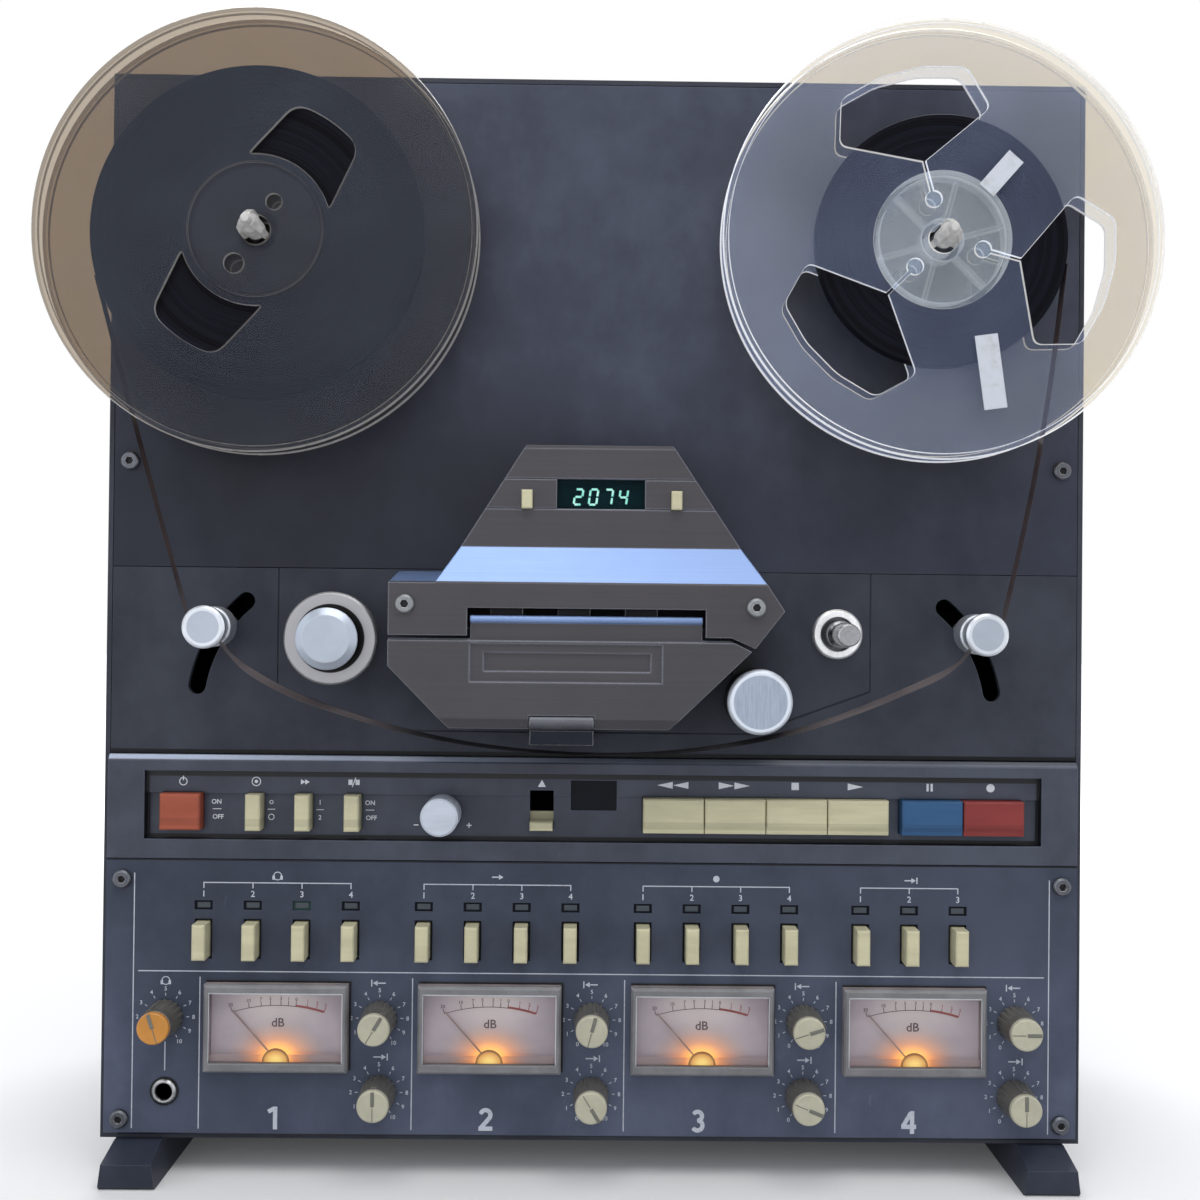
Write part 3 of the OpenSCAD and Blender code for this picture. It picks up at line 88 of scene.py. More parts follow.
class Wire:
    """A socket in a material. Sums on it become Math nodes, and node() adds any other kind."""

    def __init__(self, tree, socket=None):
        self.tree = tree
        self.socket = socket

    def node(self, kind, settings=None, inputs=None, out=0):
        made = self.tree.nodes.new("ShaderNode" + kind)
        for name, value in (settings or {}).items():
            setattr(made, name, value)
        for name, value in (inputs or {}).items():
            feed(made.inputs[name], value)
        return Wire(self.tree, made.outputs[out])

    def math(self, operation, *values):
        return self.node("Math", {"operation": operation}, dict(enumerate(values)))

    def __add__(self, other):
        return self.math("ADD", self, other)

    __radd__ = __add__

    def __sub__(self, other):
        return self.math("SUBTRACT", self, other)

    def __rsub__(self, other):
        return self.math("SUBTRACT", other, self)

    def __mul__(self, other):
        return self.math("MULTIPLY", self, other)

    __rmul__ = __mul__

    def __abs__(self):
        return self.math("ABSOLUTE", self)

    def root(self):
        return self.math("SQRT", self)

    def most(self, other):
        return self.math("MAXIMUM", self, other)

    def least(self, other):
        return self.math("MINIMUM", self, other)

    def ramp(self, low, high):
        """0 below low, 1 above high, smooth between; low may be the larger."""
        return self.node("MapRange", {"interpolation_type": "SMOOTHSTEP"},
                         {"Value": self, "From Min": low, "From Max": high})

    def mix(self, start, end):
        """The colour start where this is 0 and end where it is 1."""
        return self.node("Mix", {"data_type": "RGBA"}, {0: self, 6: start, 7: end}, out=2)

    def split(self):
        parts = self.node("SeparateXYZ", inputs={0: self}).socket.node
        return [Wire(self.tree, parts.outputs[k]) for k in range(3)]

    def stretched(self, x, y, z):
        return self.node("Mapping", inputs={"Vector": self, "Scale": (x, y, z)})

    def noise(self, scale, detail=3, rough=0.5):
        return self.node("TexNoise", inputs={"Vector": self, "Scale": scale, "Detail": detail,
                                             "Roughness": rough}, out="Fac")

    def bump(self, depth, strength, normal=None):
        """A relief with this height, laid over a normal where one is given."""
        over = {"Normal": normal} if normal else {}
        return self.node("Bump", inputs={"Height": self, "Distance": depth, "Strength": strength, **over})


def blank(name, **constants):
    """A new material, its shader, and its object-space place to start from."""
    material = bpy.data.materials.new(name)
    material.use_nodes = True
    tree = material.node_tree
    shader = tree.nodes["Principled BSDF"]
    fill(shader, **constants)
    return material, shader, Wire(tree).node("TexCoord", out="Object")


def shown(wire):
    """1 for rays that show the background: seen straight, mirrored in a gloss or through clear plastic."""
    rays = wire.node("LightPath").socket.node
    straight, mirrored, through = (Wire(wire.tree, rays.outputs[f"Is {kind} Ray"])
                                   for kind in ("Camera", "Glossy", "Transmission"))
    return straight.most(mirrored).most(through)


floor_paint, shader, place = blank("floor_paint", Base_Color=(0.72, 0.72, 0.72, 1), Roughness=0.9,
                                   Specular_IOR_Level=0.1, Emission_Strength=1.0)
x, y, _ = place.split()
far = (x * x + y * y).root().ramp(0.5, 1.2)
lift = (0.04 + far * 0.96) * shown(place)
fill(shader, Emission_Color=lift.mix(black, white))
floor_mesh = bpy.data.meshes.new("floor")
bm = bmesh.new()
bmesh.ops.create_grid(bm, x_segments=1, y_segments=1, size=6)
bm.to_mesh(floor_mesh)
bm.free()
floor_mesh.materials.append(floor_paint)
floor = bpy.data.objects.new("floor", floor_mesh)
scene.collection.objects.link(floor)

world = bpy.data.worlds.new("surround")
scene.world = world
world.use_nodes = True
sky = world.node_tree
ambient = sky.nodes["Background"]
fill(ambient, Color=(0.80, 0.86, 1.0, 1), Strength=0.3)
seen = shown(Wire(sky))
backdrop = seen.node("Background", inputs={"Color": white, "Strength": 1.0})
both = seen.node("MixShader", inputs={0: seen, 1: Wire(sky, ambient.outputs[0]), 2: backdrop})
feed(sky.nodes["World Output"].inputs["Surface"], both)


def lamp(name, power, size, spot, aim, colour=(1, 1, 1)):
    light = bpy.data.lights.new(name, "AREA")
    light.shape = "RECTANGLE"
    light.size, light.size_y = size
    light.energy = power
    light.color = colour
    holder = bpy.data.objects.new(name, light)
    holder.location = spot
    holder.rotation_euler = (Vector(aim) - Vector(spot)).to_track_quat("-Z", "Y").to_euler()
    scene.collection.objects.link(holder)


lamp("overhead_lamp", 21, (1.6, 1.2), (0.1, -0.75, 1.75), (0, -0.1, 0.2), (1, 0.99, 0.98))
lamp("front_lamp", 8, (1.8, 1.2), (-0.5, -1.9, 0.9), (0, 0, 0.22))
lamp("back_lamp", 38, (1.8, 0.8), (0, 1.1, 1.7), (0, -0.2, 0))
lamp("left_lamp", 4.5, (0.8, 1.4), (-1.4, -0.6, 0.7), (0, 0, 0.25), (0.92, 0.95, 1))
lamp("right_lamp", 4.5, (0.8, 1.4), (1.4, -0.7, 0.7), (0, 0, 0.25), (0.92, 0.95, 1))

# Cabinet: a folded steel shell with a bolted rear cover, sprayed with a charcoal paint that shows
# a fine orange peel, faint wipe marks, smudges and a few pale scuffs.
mm = 0.001


def linear(red, green, blue):
    """An eight-bit display colour as the linear colour that shaders take."""
    return (*(((v / 255 + 0.055) / 1.055) ** 2.4 if v > 10 else v / 3295 for v in (red, green, blue)), 1.0)


def shade(colour, by, add=0.0):
    """A colour made darker or paler."""
    return (*(min(1, by * v + add) for v in colour[:3]), 1)


def dress(material, *names):
    for name in names:
        nodes[name].material_slots[0].material = material


def edged(place, radius):
    """The rounded normal of near edges, and how much it turns from the flat face."""
    soft = place.node("Bevel", {"samples": 4}, {"Radius": radius})
    true = place.node("NewGeometry", out="Normal")
    turn = soft.node("VectorMath", {"operation": "DOT_PRODUCT"}, {0: soft, 1: true}, out="Value")
    return soft, 1 - turn


def sprayed(name, colour, rough=0.46, edge=0.4, wear=1.5, specular=0.18, dark=None, bright=None):
    """Sprayed metal, paler along edges that many millimetres wide, as wear and a painted highlight.
    dark(place) gives how far it goes to black as painted shade: on a panel, in joints and on the walls of
    holes; bright(place) gives where a painted glint lies."""
    material, shader, place = blank(name, Specular_IOR_Level=specular)
    wipe = place.stretched(1, 1, 0.45).noise(9, 6, 0.62)
    smudge = place.noise(42, 4, 0.6)
    scuff = place.stretched(1.6, 1, 0.5).noise(95, 4, 0.6).ramp(0.71, 0.78)
    dust = place.noise(900, 1).ramp(0.77, 0.8)
    soft, turn = edged(place, edge * mm)
    bare = shade(colour, 2.2, 0.03)
    tone = (wipe * 0.65 + smudge * 0.35).ramp(0.36, 0.66)
    tone = tone.mix(shade(colour, 0.77), shade(colour, 1.3, 0.012))
    tone = (scuff * 0.28 + dust * 0.22).mix(tone, bare)
    # Near edges paler: wear and a painted highlight.
    tone = (turn * wear).ramp(0, 0.5).mix(tone, bare)
    # Painted shade where dark(place) is 1.
    if dark:
        tone = dark(place).mix(tone, shade(colour, 0.12))
    # Painted glint where bright(place) is 1.
    if bright:
        tone = bright(place).mix(tone, linear(176, 186, 206))
    orange_peel = place.noise(2100, 2).bump(0.03 * mm, 0.35, soft)
    fill(shader, Base_Color=tone, Roughness=rough + (wipe - 0.5) * 0.35 + dust * 0.2, Normal=orange_peel)
    return material


dress(sprayed("cabinet_paint", linear(46, 49, 59)), "case_shell")
dress(sprayed("rear_paint", linear(40, 42, 49), 0.55), "rear_cover")
dress(sprayed("skid_paint", linear(43, 48, 61), 0.42, wear=2.2), "skid_feet")

# Deck panels: two flat steel plates screwed to the cabinet's ledge, painted like it, the transport
# plate a shade darker and flatter, with painted shade in the gap along its foot.
control_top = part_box("control_panel")[1][2]


# Painted shade in the gap between the transport plate's foot and the control panel.
def foot_joint(place):
    return place.split()[2].ramp(control_top + 2.4 * mm, control_top + 1.9 * mm)


def lower_shade(place):
    """Painted shade: the upper deck darker toward its foot, and more so at the left."""
    x, _, z = place.split()
    return z.ramp(350 * mm, 285 * mm) * (0.5 + x.ramp(20 * mm, -50 * mm) * 0.24)


dress(sprayed("deck_paint", linear(59, 64, 80), 0.5, dark=lower_shade), "upper_deck_panel")
dress(sprayed("transport_paint", linear(43, 47, 57), 0.55, dark=foot_joint), "transport_panel")

# Control panel: one formed steel bezel with a long pocket for the keys, painted, with its signs
# silk-screened in white on the strip above the keys.
deck_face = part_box("upper_deck_panel")[0][1]
ink_thick = 0.05
second_coat = 0.06  # ink that crosses other ink, so that no two faces are level
letters = {}


def on_front(face):
    """Takes a sheet drawn flat, x right and y up, to stand on the recorder's front."""
    return Matrix.Translation((0, face, 0)) @ Matrix.Rotation(radians(90), 4, "X")


def piece(name, bm, material, face=None, body="recorder", smooth=32):
    """Closes a shape, stood on a face where one is given, into an object that rides on a body or none."""
    if face is not None:
        bm.transform(on_front(face))
    bmesh.ops.remove_doubles(bm, verts=bm.verts, dist=1e-7)
    bmesh.ops.recalc_face_normals(bm, faces=bm.faces)
    mesh = bpy.data.meshes.new(name)
    bm.to_mesh(mesh)
    bm.free()
    mesh.materials.append(material)
    mesh.shade_smooth()
    mesh.set_sharp_from_angle(angle=radians(smooth))
    made = bpy.data.objects.new(name, mesh)
    scene.collection.objects.link(made)
    if body:
        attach(made, body)
    return made


def laid(x, y, out, turn=0):
    """A place on the sheet in millimetres, turned by degrees."""
    return Matrix.Translation((x * mm, y * mm, out * mm)) @ Matrix.Rotation(radians(turn), 4, "Z")


def brick(bm, x, y, wide, high, low=0.0, top=ink_thick, turn=0):
    """A block in millimetres on the sheet, turned by degrees about its middle."""
    shape = Matrix.Diagonal((wide * mm, high * mm, (top - low) * mm, 1))
    bmesh.ops.create_cube(bm, size=1, matrix=laid(x, y, (low + top) / 2, turn) @ shape)


def turned(bm, x, y, profile, steps=64):
    """Spins a closed outline of (radius, out) points in millimetres about the sheet's normal."""
    rail = [bm.verts.new(((x + r) * mm, y * mm, z * mm)) for r, z in profile]
    edges = [bm.edges.new(pair) for pair in zip(rail, rail[1:] + rail[:1])]
    bmesh.ops.spin(bm, geom=rail + edges, cent=(x * mm, y * mm, 0), axis=(0, 0, 1), angle=2 * pi,
                   steps=steps, use_merge=True)


def hoop(bm, x, y, inner, outer, low=0.0, top=ink_thick, steps=40):
    turned(bm, x, y, [(inner, low), (outer, low), (outer, top), (inner, top)], steps)


def dot(bm, x, y, radius, sides=32, turn=0, low=0.0, top=ink_thick):
    bmesh.ops.create_cone(bm, cap_ends=True, segments=sides, radius1=radius * mm, radius2=radius * mm,
                          depth=(top - low) * mm, matrix=laid(x, y, (low + top) / 2, turn))


def arrow(bm, x, y, high, long, way, top=ink_thick):
    """A solid triangle, high across its foot, that points along an angle from x."""
    shape = Matrix.Diagonal((high / 3 ** 0.5 * mm, long / 1.5 * mm, top * mm, 1))
    bmesh.ops.create_cone(bm, cap_ends=True, segments=3, radius1=1, radius2=1, depth=1,
                          matrix=laid(x, y, top / 2, way - 90) @ shape)


def drop_in(bm, mesh, x, y, out):
    """Adds a mesh drawn about the sheet's origin, moved in millimetres."""
    before = len(bm.verts)
    bm.from_mesh(mesh)
    bm.verts.ensure_lookup_table()
    bmesh.ops.translate(bm, verts=bm.verts[before:], vec=(x * mm, y * mm, out * mm))


def flat_mesh(curve):
    holder = bpy.data.objects.new(curve.name, curve)
    mesh = bpy.data.meshes.new_from_object(holder)
    bpy.data.objects.remove(holder)
    return mesh


def mark(bm, text, high, x, y, low=0.0):
    """Stamps figures or short marks, centred, from one flat mesh kept for each."""
    if (text, high) not in letters:
        curve = bpy.data.curves.new("mark", "FONT")
        curve.body = text
        curve.size = high * 1.42 * mm
        curve.align_x = "CENTER"
        curve.extrude = ink_thick / 2 * mm
        curve.offset = 0.016 * high * mm
        curve.resolution_u = 3
        letters[text, high] = flat_mesh(curve)
    drop_in(bm, letters[text, high], x, y - high / 2, low + ink_thick / 2)


def inked(name, colour, wear=0.25):
    """Silk-screen ink: flat, with a little of it rubbed away."""
    material, shader, place = blank(name, Roughness=0.6, Specular_IOR_Level=0.25)
    rubbed = place.noise(700, 3).ramp(0.5, 0.75) * wear
    fill(shader, Base_Color=rubbed.mix(colour, shade(colour, 0.35)))
    return material


white_ink = inked("white_ink", linear(212, 215, 221))
grey_ink = inked("grey_ink", linear(188, 192, 202), 0.3)


def pocket_rim(place):
    """Painted shade on the pocket's walls, the edge of its floor along them, and the walls of the key holes."""
    x, y, z = place.split()
    sunk = y.ramp(deck_face - 2.4 * mm, deck_face - 2.0 * mm)
    ends = abs(x).ramp(185.9 * mm, 186.7 * mm)
    rims = z.ramp(165.8 * mm, 166.3 * mm).most(z.ramp(142.0 * mm, 141.5 * mm))
    holes = y.ramp(deck_face + 1.6 * mm, deck_face + 1.8 * mm)
    return (sunk * ends.most(rims)).most(holes)


# A painted glint along the bezel's top chamfer, brightest at the left.
def top_chamfer(place):
    x, _, z = place.split()
    return z.ramp(control_top - 2.2 * mm, control_top - 1.4 * mm) * (0.12 + x.ramp(40 * mm, -170 * mm) * 0.8)


dress(sprayed("control_paint", linear(55, 60, 73), 0.36, 0.7, 2.2, 0.26, pocket_rim, top_chamfer),
      "control_panel")

sign_y = 164.0
pitch_sign_y = 146.4
power_x, reel_size_x, speed_x, edit_x = -172.2, -141.7, -121.3, -100.8
minus_x, plus_x, cue_x = -74.6, -52.4, -22.0
rewind_x, forward_x, stop_x, play_x, pause_x, record_x = 33.1, 58.8, 84.5, 108.8, 141.2, 166.9
bm = bmesh.new()
hoop(bm, power_x, sign_y - 0.2, 1.35, 1.75)
brick(bm, power_x, sign_y + 1.2, 0.45, 1.9, top=second_coat)
hoop(bm, reel_size_x, sign_y, 1.6, 1.95)
dot(bm, reel_size_x, sign_y, 0.7)
for aside in (-1.1, 0.7):
    arrow(bm, speed_x + aside, sign_y, 2.2, 1.9, 0)
for aside in (-1.5, 1.5):
    brick(bm, edit_x + aside, sign_y, 1.7, 2.2)
brick(bm, edit_x, sign_y, 0.4, 4.2, top=second_coat, turn=-20)
mark(bm, "+", 3.0, plus_x, pitch_sign_y)
brick(bm, minus_x, pitch_sign_y, 2.0, 0.45)
arrow(bm, cue_x, sign_y - 0.2, 3.4, 3.0, 90)
for aside in (-2.3, 4.3):
    arrow(bm, rewind_x + aside, sign_y, 2.9, 6.5, 180)
    arrow(bm, forward_x - aside, sign_y, 2.9, 6.5, 0)
brick(bm, stop_x, sign_y, 3.1, 3.1)
arrow(bm, play_x, sign_y, 2.9, 6.5, 0)
for aside in (-0.85, 0.85):
    brick(bm, pause_x + aside, sign_y, 0.95, 3.2)
dot(bm, record_x, sign_y, 1.75)
piece("control_signs", bm, white_ink, deck_face)

upper_y, rule_y, lower_y = 155.3, 152.2, 149.0
power_sign_x, size_sign_x, speed_sign_x, edit_sign_x = -158.4, -135.6, -115.2, -94.2
bm = bmesh.new()
for x, upper, lower, aside in ((power_sign_x - 0.2, "ON", "OFF", 0.7), (speed_sign_x, "1", "2", 0),
                               (edit_sign_x, "ON", "OFF", 0.6)):
    mark(bm, upper, 1.9, x, upper_y)
    mark(bm, lower, 1.9, x + aside, lower_y)
for x, wide in ((power_sign_x, 3.6), (edit_sign_x, 3.6), (size_sign_x, 3.2), (speed_sign_x, 3.2)):
    brick(bm, x, rule_y, wide, 0.3)
hoop(bm, size_sign_x, upper_y - 0.1, 0.55, 0.85)
hoop(bm, size_sign_x, lower_y, 1.0, 1.3)
piece("switch_signs", bm, white_ink, deck_face + 1.5 * mm)

# Amplifier panel: a flat painted plate in a bluer grey, screwed on at its corners, with rules,
# scales, figures and simple signs silk-screened in pale grey.
amp_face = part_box("amplifier_panel")[0][1]
amp_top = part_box("amplifier_panel")[1][2]


def hole_walls(place):
    """Painted shade on the walls of holes and along the joint at the top, and a light painted shade toward it.
    """
    _, y, z = place.split()
    joint = z.ramp(amp_top - 0.9 * mm, amp_top - 0.5 * mm).most(z.ramp(45 * mm, 120 * mm) * 0.46)
    return joint.most(y.ramp(amp_face + 0.3 * mm, amp_face + 0.5 * mm))


dress(sprayed("amplifier_paint", linear(72, 79, 97), 0.5, wear=1.2, dark=hole_walls), "amplifier_panel")
channel_pitch = 88.4
meter_x = [-130.9 + channel_pitch * k for k in range(4)]
knob_x = [-88.5 + channel_pitch * k for k in range(4)]
knob_y = (66.3, 35.5)
phones_x = -177.5
select_pitch = 20.4
banks = [[first + k * select_pitch for k in range(count)]
         for first, count in ((-162.2, 4), (-70.6, 4), (20.8, 4), (111.8, 3))]
rule = 0.42
side_rule_x = 191
level_rule_y = 85.3
bank_rule_y = 122.2

bm = bmesh.new()
for x in (-side_rule_x, side_rule_x):
    brick(bm, x, 73, rule, 106)
brick(bm, 0, level_rule_y, 378, rule)
for x in meter_x:
    brick(bm, x - 32.4, 51.5, rule, 63)
brick(bm, phones_x, 50, rule, 12)
for bank in banks:
    brick(bm, (bank[0] + bank[-1]) / 2, bank_rule_y, bank[-1] - bank[0] + rule, rule)
    for x in bank:
        brick(bm, x, bank_rule_y - 1.1, rule, 2.4, top=second_coat)
piece("panel_rules", bm, grey_ink, amp_face)


def ray(turn):
    """A step of one millimetre along an angle in degrees."""
    return Vector((cos(radians(turn)), sin(radians(turn))))


def ring_points(radius, start=0.0, end=360.0, steps=120, middle=(0, 0)):
    """Points of an arc in millimetres; a full turn leaves out its last point."""
    count = steps if end - start == 360 else steps + 1
    turns = [radians(start + (end - start) * k / steps) for k in range(count)]
    return [(middle[0] + radius * cos(a), middle[1] + radius * sin(a)) for a in turns]


def stroke(bm, points, wide, top):
    """A printed line of even width through points in millimetres, round at its joints. No two faces of
    it that cross are level."""
    for k, ((x0, y0), (x1, y1)) in enumerate(zip(points, points[1:])):
        long = ((x1 - x0) ** 2 + (y1 - y0) ** 2) ** 0.5
        brick(bm, (x0 + x1) / 2, (y0 + y1) / 2, long, wide, top=top + 0.03 + 0.01 * (k % 2),
              turn=degrees(atan2(y1 - y0, x1 - x0)))
    for x, y in points[1:-1]:
        dot(bm, x, y, wide / 2, 16, top=top)


large_figures = (
    ([(-2.0, 2.6), (0.6, 4.0)], [(0.9, 4.7), (0.9, -4.7)]),
    ([*ring_points(2.05, 165, -38, 12, (0, 1.85)), (-2.2, -3.8)], [(-2.9, -3.8), (2.9, -3.8)]),
    (ring_points(1.85, 150, -90, 12, (0, 2.0)), ring_points(2.1, 90, -150, 12, (0, -1.85))),
    ([(0.8, 4.0), (-2.4, -1.4)], [(-3.2, -1.8), (3.0, -1.8)], [(1.3, 4.7), (1.3, -4.7)]))
large_y = 24.6
select_y = 117.6
tick_r, number_r = 9.3, 11.7
bm = bmesh.new()
for x, lines in zip(meter_x, large_figures):
    for k, line in enumerate(lines):
        stroke(bm, [(x - 1.4 + dx, large_y + dy) for dx, dy in line], 1.75, 0.05 + 0.06 * k)
for bank in banks:
    for k, x in enumerate(bank):
        mark(bm, str(k + 1), 2.5, x, select_y)
dials = [(x, y) for x in knob_x for y in knob_y] + [(phones_x, knob_y[0])]
for x, y in dials:
    for k in range(11):
        turn = 240 - 30 * k
        tick, number = ray(turn) * tick_r, ray(turn) * number_r
        brick(bm, x + tick.x, y + tick.y, 0.3, 1.2, turn=turn - 90)
        mark(bm, str(k), 1.7, x + number.x, y + number.y)
phones_sign_y, input_sign_y, output_sign_y, bank_sign_y = 81.6, 80.9, 50.2, 125.4
for x in knob_x:
    for y, way in ((input_sign_y, -1), (output_sign_y, 1)):
        brick(bm, x - 0.8 * way, y, 3.2, 0.5)
        arrow(bm, x + 1.6 * way, y, 2.2, 1.9, 90 - 90 * way, top=second_coat)
        brick(bm, x + 3.4 * way, y, 0.5, 2.8)
bank_middle = [(bank[0] + bank[-1]) / 2 for bank in banks]
for x, y in ((phones_x, phones_sign_y), (bank_middle[0], bank_sign_y)):
    hoop(bm, x, y - 0.3, 1.45, 1.8)
    for side in (-1, 1):
        brick(bm, x + side * 1.65, y - 1.0, 1.0, 1.7, top=second_coat)
for x in (bank_middle[1] - 0.3, bank_middle[3]):
    brick(bm, x - 0.6, bank_sign_y, 2.8, 0.5)
    arrow(bm, x + 1.5, bank_sign_y, 2.2, 1.9, 0, top=second_coat)
dot(bm, bank_middle[2], bank_sign_y, 1.35)
brick(bm, bank_middle[3] + 3.2, bank_sign_y, 0.5, 2.6)
piece("panel_figures", bm, grey_ink, amp_face)

# Fasteners and sockets: dull zinc-plated socket screws, whose hex sockets are dark discs of painted shade,
# turned brass rings with nickel plate, painted near black inside the jack's bore as shade, and the
# headphone jack with a black ring round it.
capstan_at = (101.4, 228.2)
bracket_x = -13.5


def off_axis(place, x, y):
    """The distance of a point from a line along the depth, drawn at a place in millimetres."""
    side, _, rise = place.split()
    side = side - x * mm
    rise = rise - y * mm
    return (side * side + rise * rise).root()


def metal(name, colour, rough=0.3, brush=None, dull=0.3, edge=0.5, bare=1.0):
    """Bare or plated metal of one colour, or of colour(place). brush stretches the tool marks, and bare
    falls where a film of oxide or lacquer scatters the light. Near edges are painted paler as a highlight."""
    material, shader, place = blank(name, Metallic=bare)
    cloud = place.noise(60, 4, 0.6)
    fine = (place.stretched(*brush) if brush else place).noise(900, 3, 0.6)
    soft, turn = edged(place, edge * mm)
    tone = colour(place) if callable(colour) else colour
    worn = 1 - dull * (cloud * 0.6 + fine * 0.4).ramp(0.7, 0.3)
    tone = worn.mix(black, tone)
    # Near edges painted toward white as a highlight.
    tone = ((turn * 2).ramp(0, 0.5) * 0.35).mix(tone, white)
    fill(shader, Base_Color=tone, Roughness=rough + (cloud - 0.5) * 0.15 + (fine - 0.5) * 0.1,
         Normal=fine.bump(0.02 * mm, 0.25, soft))
    return material


def hardware_tone(place):
    """Dull zinc for the screws, paler on the head cover, pale satin for the capstan's ring, and enamel
    for the flap's bracket, dark below its knuckle."""
    x, y, z = place.split()
    ring = off_axis(place, *capstan_at).ramp(12 * mm, 11.5 * mm) * y.ramp(deck_face + 0.1 * mm, deck_face)
    bracket = abs(x - bracket_x * mm).ramp(13.4 * mm, 13.1 * mm) * z.ramp(197 * mm, 196 * mm)
    screws = y.ramp(deck_face - 20 * mm, deck_face - 24 * mm).mix(linear(92, 95, 102), linear(128, 131, 135))
    screws = ring.mix(screws, linear(230, 232, 234))
    knuckle = z.ramp(control_top + 13.4 * mm, control_top + 13.9 * mm)
    return bracket.mix(screws, knuckle.mix(linear(36, 39, 46), linear(84, 86, 92)))


# Inside the jack's bore the nickel is painted near black as shade.
def jack_bore(place):
    y = place.split()[1]
    inside = y.ramp(amp_face - 1.3 * mm, amp_face - 0.5 * mm) * y.ramp(0.02, 0.01)
    return inside.mix(linear(162, 163, 165), linear(8, 8, 9))


dress(metal("zinc", hardware_tone, 0.42), "deck_hardware")
dress(metal("nickel", jack_bore, 0.28), "sockets")
# Black paint for the jack's ring and for pieces of painted shade.
black_ring_and_shade = sprayed("black_ring_and_shade", linear(22, 22, 24), 0.4, wear=0.8)

screw_sockets = ((-196, 298, -3), (196, 298, -3), (-196, 24, 0), (196, 24, 0), (-196, 123.5, 0), (196, 123.5, 0),
                 (-76.3, 239, 27), (63.7, 238.8, 27))
bm = bmesh.new()
hoop(bm, phones_x, knob_y[1], 5.25, 5.9, 0, 0.6, 64)
# Each screw's hex socket is a dark disc of painted shade.
for x, y, out in screw_sockets:
    dot(bm, x, y, 1.65, 6, 30, out + 0.6, out + 0.65)
piece("jack_ring_and_screw_socket_shade", bm, black_ring_and_shade, amp_face)

# Head housing: a hollow die-cast cover in brown-grey enamel with a brushed bright band across its
# slope, and the hinged flap in front of the heads, cast the same way.


def enamelled(name, colour, low, high):
    """Enamel with faint brush marks, bare as a bright band between two heights in millimetres. Near edges are
    painted paler as a highlight, and the band's blue and its darkening to the right are a painted reflection.
    """
    material, shader, place = blank(name, Specular_IOR_Level=0.24)
    x, _, z = place.split()
    brushing = place.stretched(12, 120, 2600).noise(1, 3, 0.5)
    cloud = place.noise(30, 4, 0.6)
    soft, turn = edged(place, 0.9 * mm)
    tone = (brushing * 0.5 + cloud * 0.5).ramp(0.3, 0.7).mix(shade(colour, 0.9), shade(colour, 1.1))
    # Near edges painted paler as a highlight.
    tone = (turn * 2.2).ramp(0, 0.6).mix(tone, linear(150, 152, 165))
    bright = z.ramp(low * mm, (low + 0.2) * mm) * z.ramp(high * mm, (high - 0.2) * mm)
    # The band's blue and its darkening to the right: a painted reflection.
    plate = (brushing * 0.4 + cloud * 0.6).ramp(0.3, 0.7).mix(linear(112, 135, 178), linear(123, 146, 187))
    plate = (x.ramp(-50 * mm, 70 * mm) * 0.4).mix(plate, linear(80, 96, 126))
    fill(shader, Base_Color=bright.mix(tone, plate), Metallic=bright * 0.45,
         Roughness=0.34 + (cloud - 0.5) * 0.2, Normal=brushing.bump(0.02 * mm, 0.3, soft))
    return material


dress(enamelled("housing_enamel", linear(66, 64, 68), 248.1, 262.6), "head_housing")
# On the flap the bright band is a painted highlight along its rounded top edge.
dress(enamelled("flap_enamel", linear(66, 65, 69), 231.6, 235.5), "head_cover_flap")

# Inside: nickel heads on their plate, painted dark as shade, which show through the tape slot and past
# the open flap, and behind the deck bright motor cans and a lacquered circuit board.
dress(metal("shaded_head_metal", linear(30, 30, 33), 0.45), "head_block")
dress(metal("motor_steel", linear(120, 122, 126), 0.4), "drive_motors")
dress(sprayed("board_lacquer", linear(52, 92, 60), 0.4), "electronics")

# Tape counter: a fluorescent display of four slanted figures on a dark green board behind the
# window, held by a rim to the housing's wall.
counter_x = 1.4
counter_y = 284.35
counter_wide, counter_high = 35.8, 12.1
board_back, wall_back, figures_out = 14.6, 17.8, 16.4
segments = {"0": "abcdef", "2": "abged", "4": "fgbc", "7": "abc"}
end_y, side_x, side_y = 3.1, 1.55, 1.55
bars = {"a": (0, end_y, 0), "g": (0, 0, 0), "d": (0, -end_y, 0), "b": (side_x, side_y, 90),
        "c": (side_x, -side_y, 90), "e": (-side_x, -side_y, 90), "f": (-side_x, side_y, 90)}

bm = bmesh.new()
brick(bm, counter_x, counter_y, counter_wide + 6, counter_high + 6, board_back, wall_back)
bm.faces.ensure_lookup_table()
face = max(bm.faces, key=lambda f: f.calc_center_median().z)
bmesh.ops.inset_individual(bm, faces=[face], thickness=2 * mm, depth=0)
bmesh.ops.translate(bm, verts=face.verts, vec=(0, 0, -1.4 * mm))
board, shader, place = blank("display_board", Roughness=0.5, Specular_IOR_Level=0.05)
cloud = place.noise(120, 3).ramp(0.3, 0.7)
fill(shader, Base_Color=cloud.mix(linear(2, 38, 44), linear(3, 46, 52)))
piece("counter_board", bm, board, deck_face)

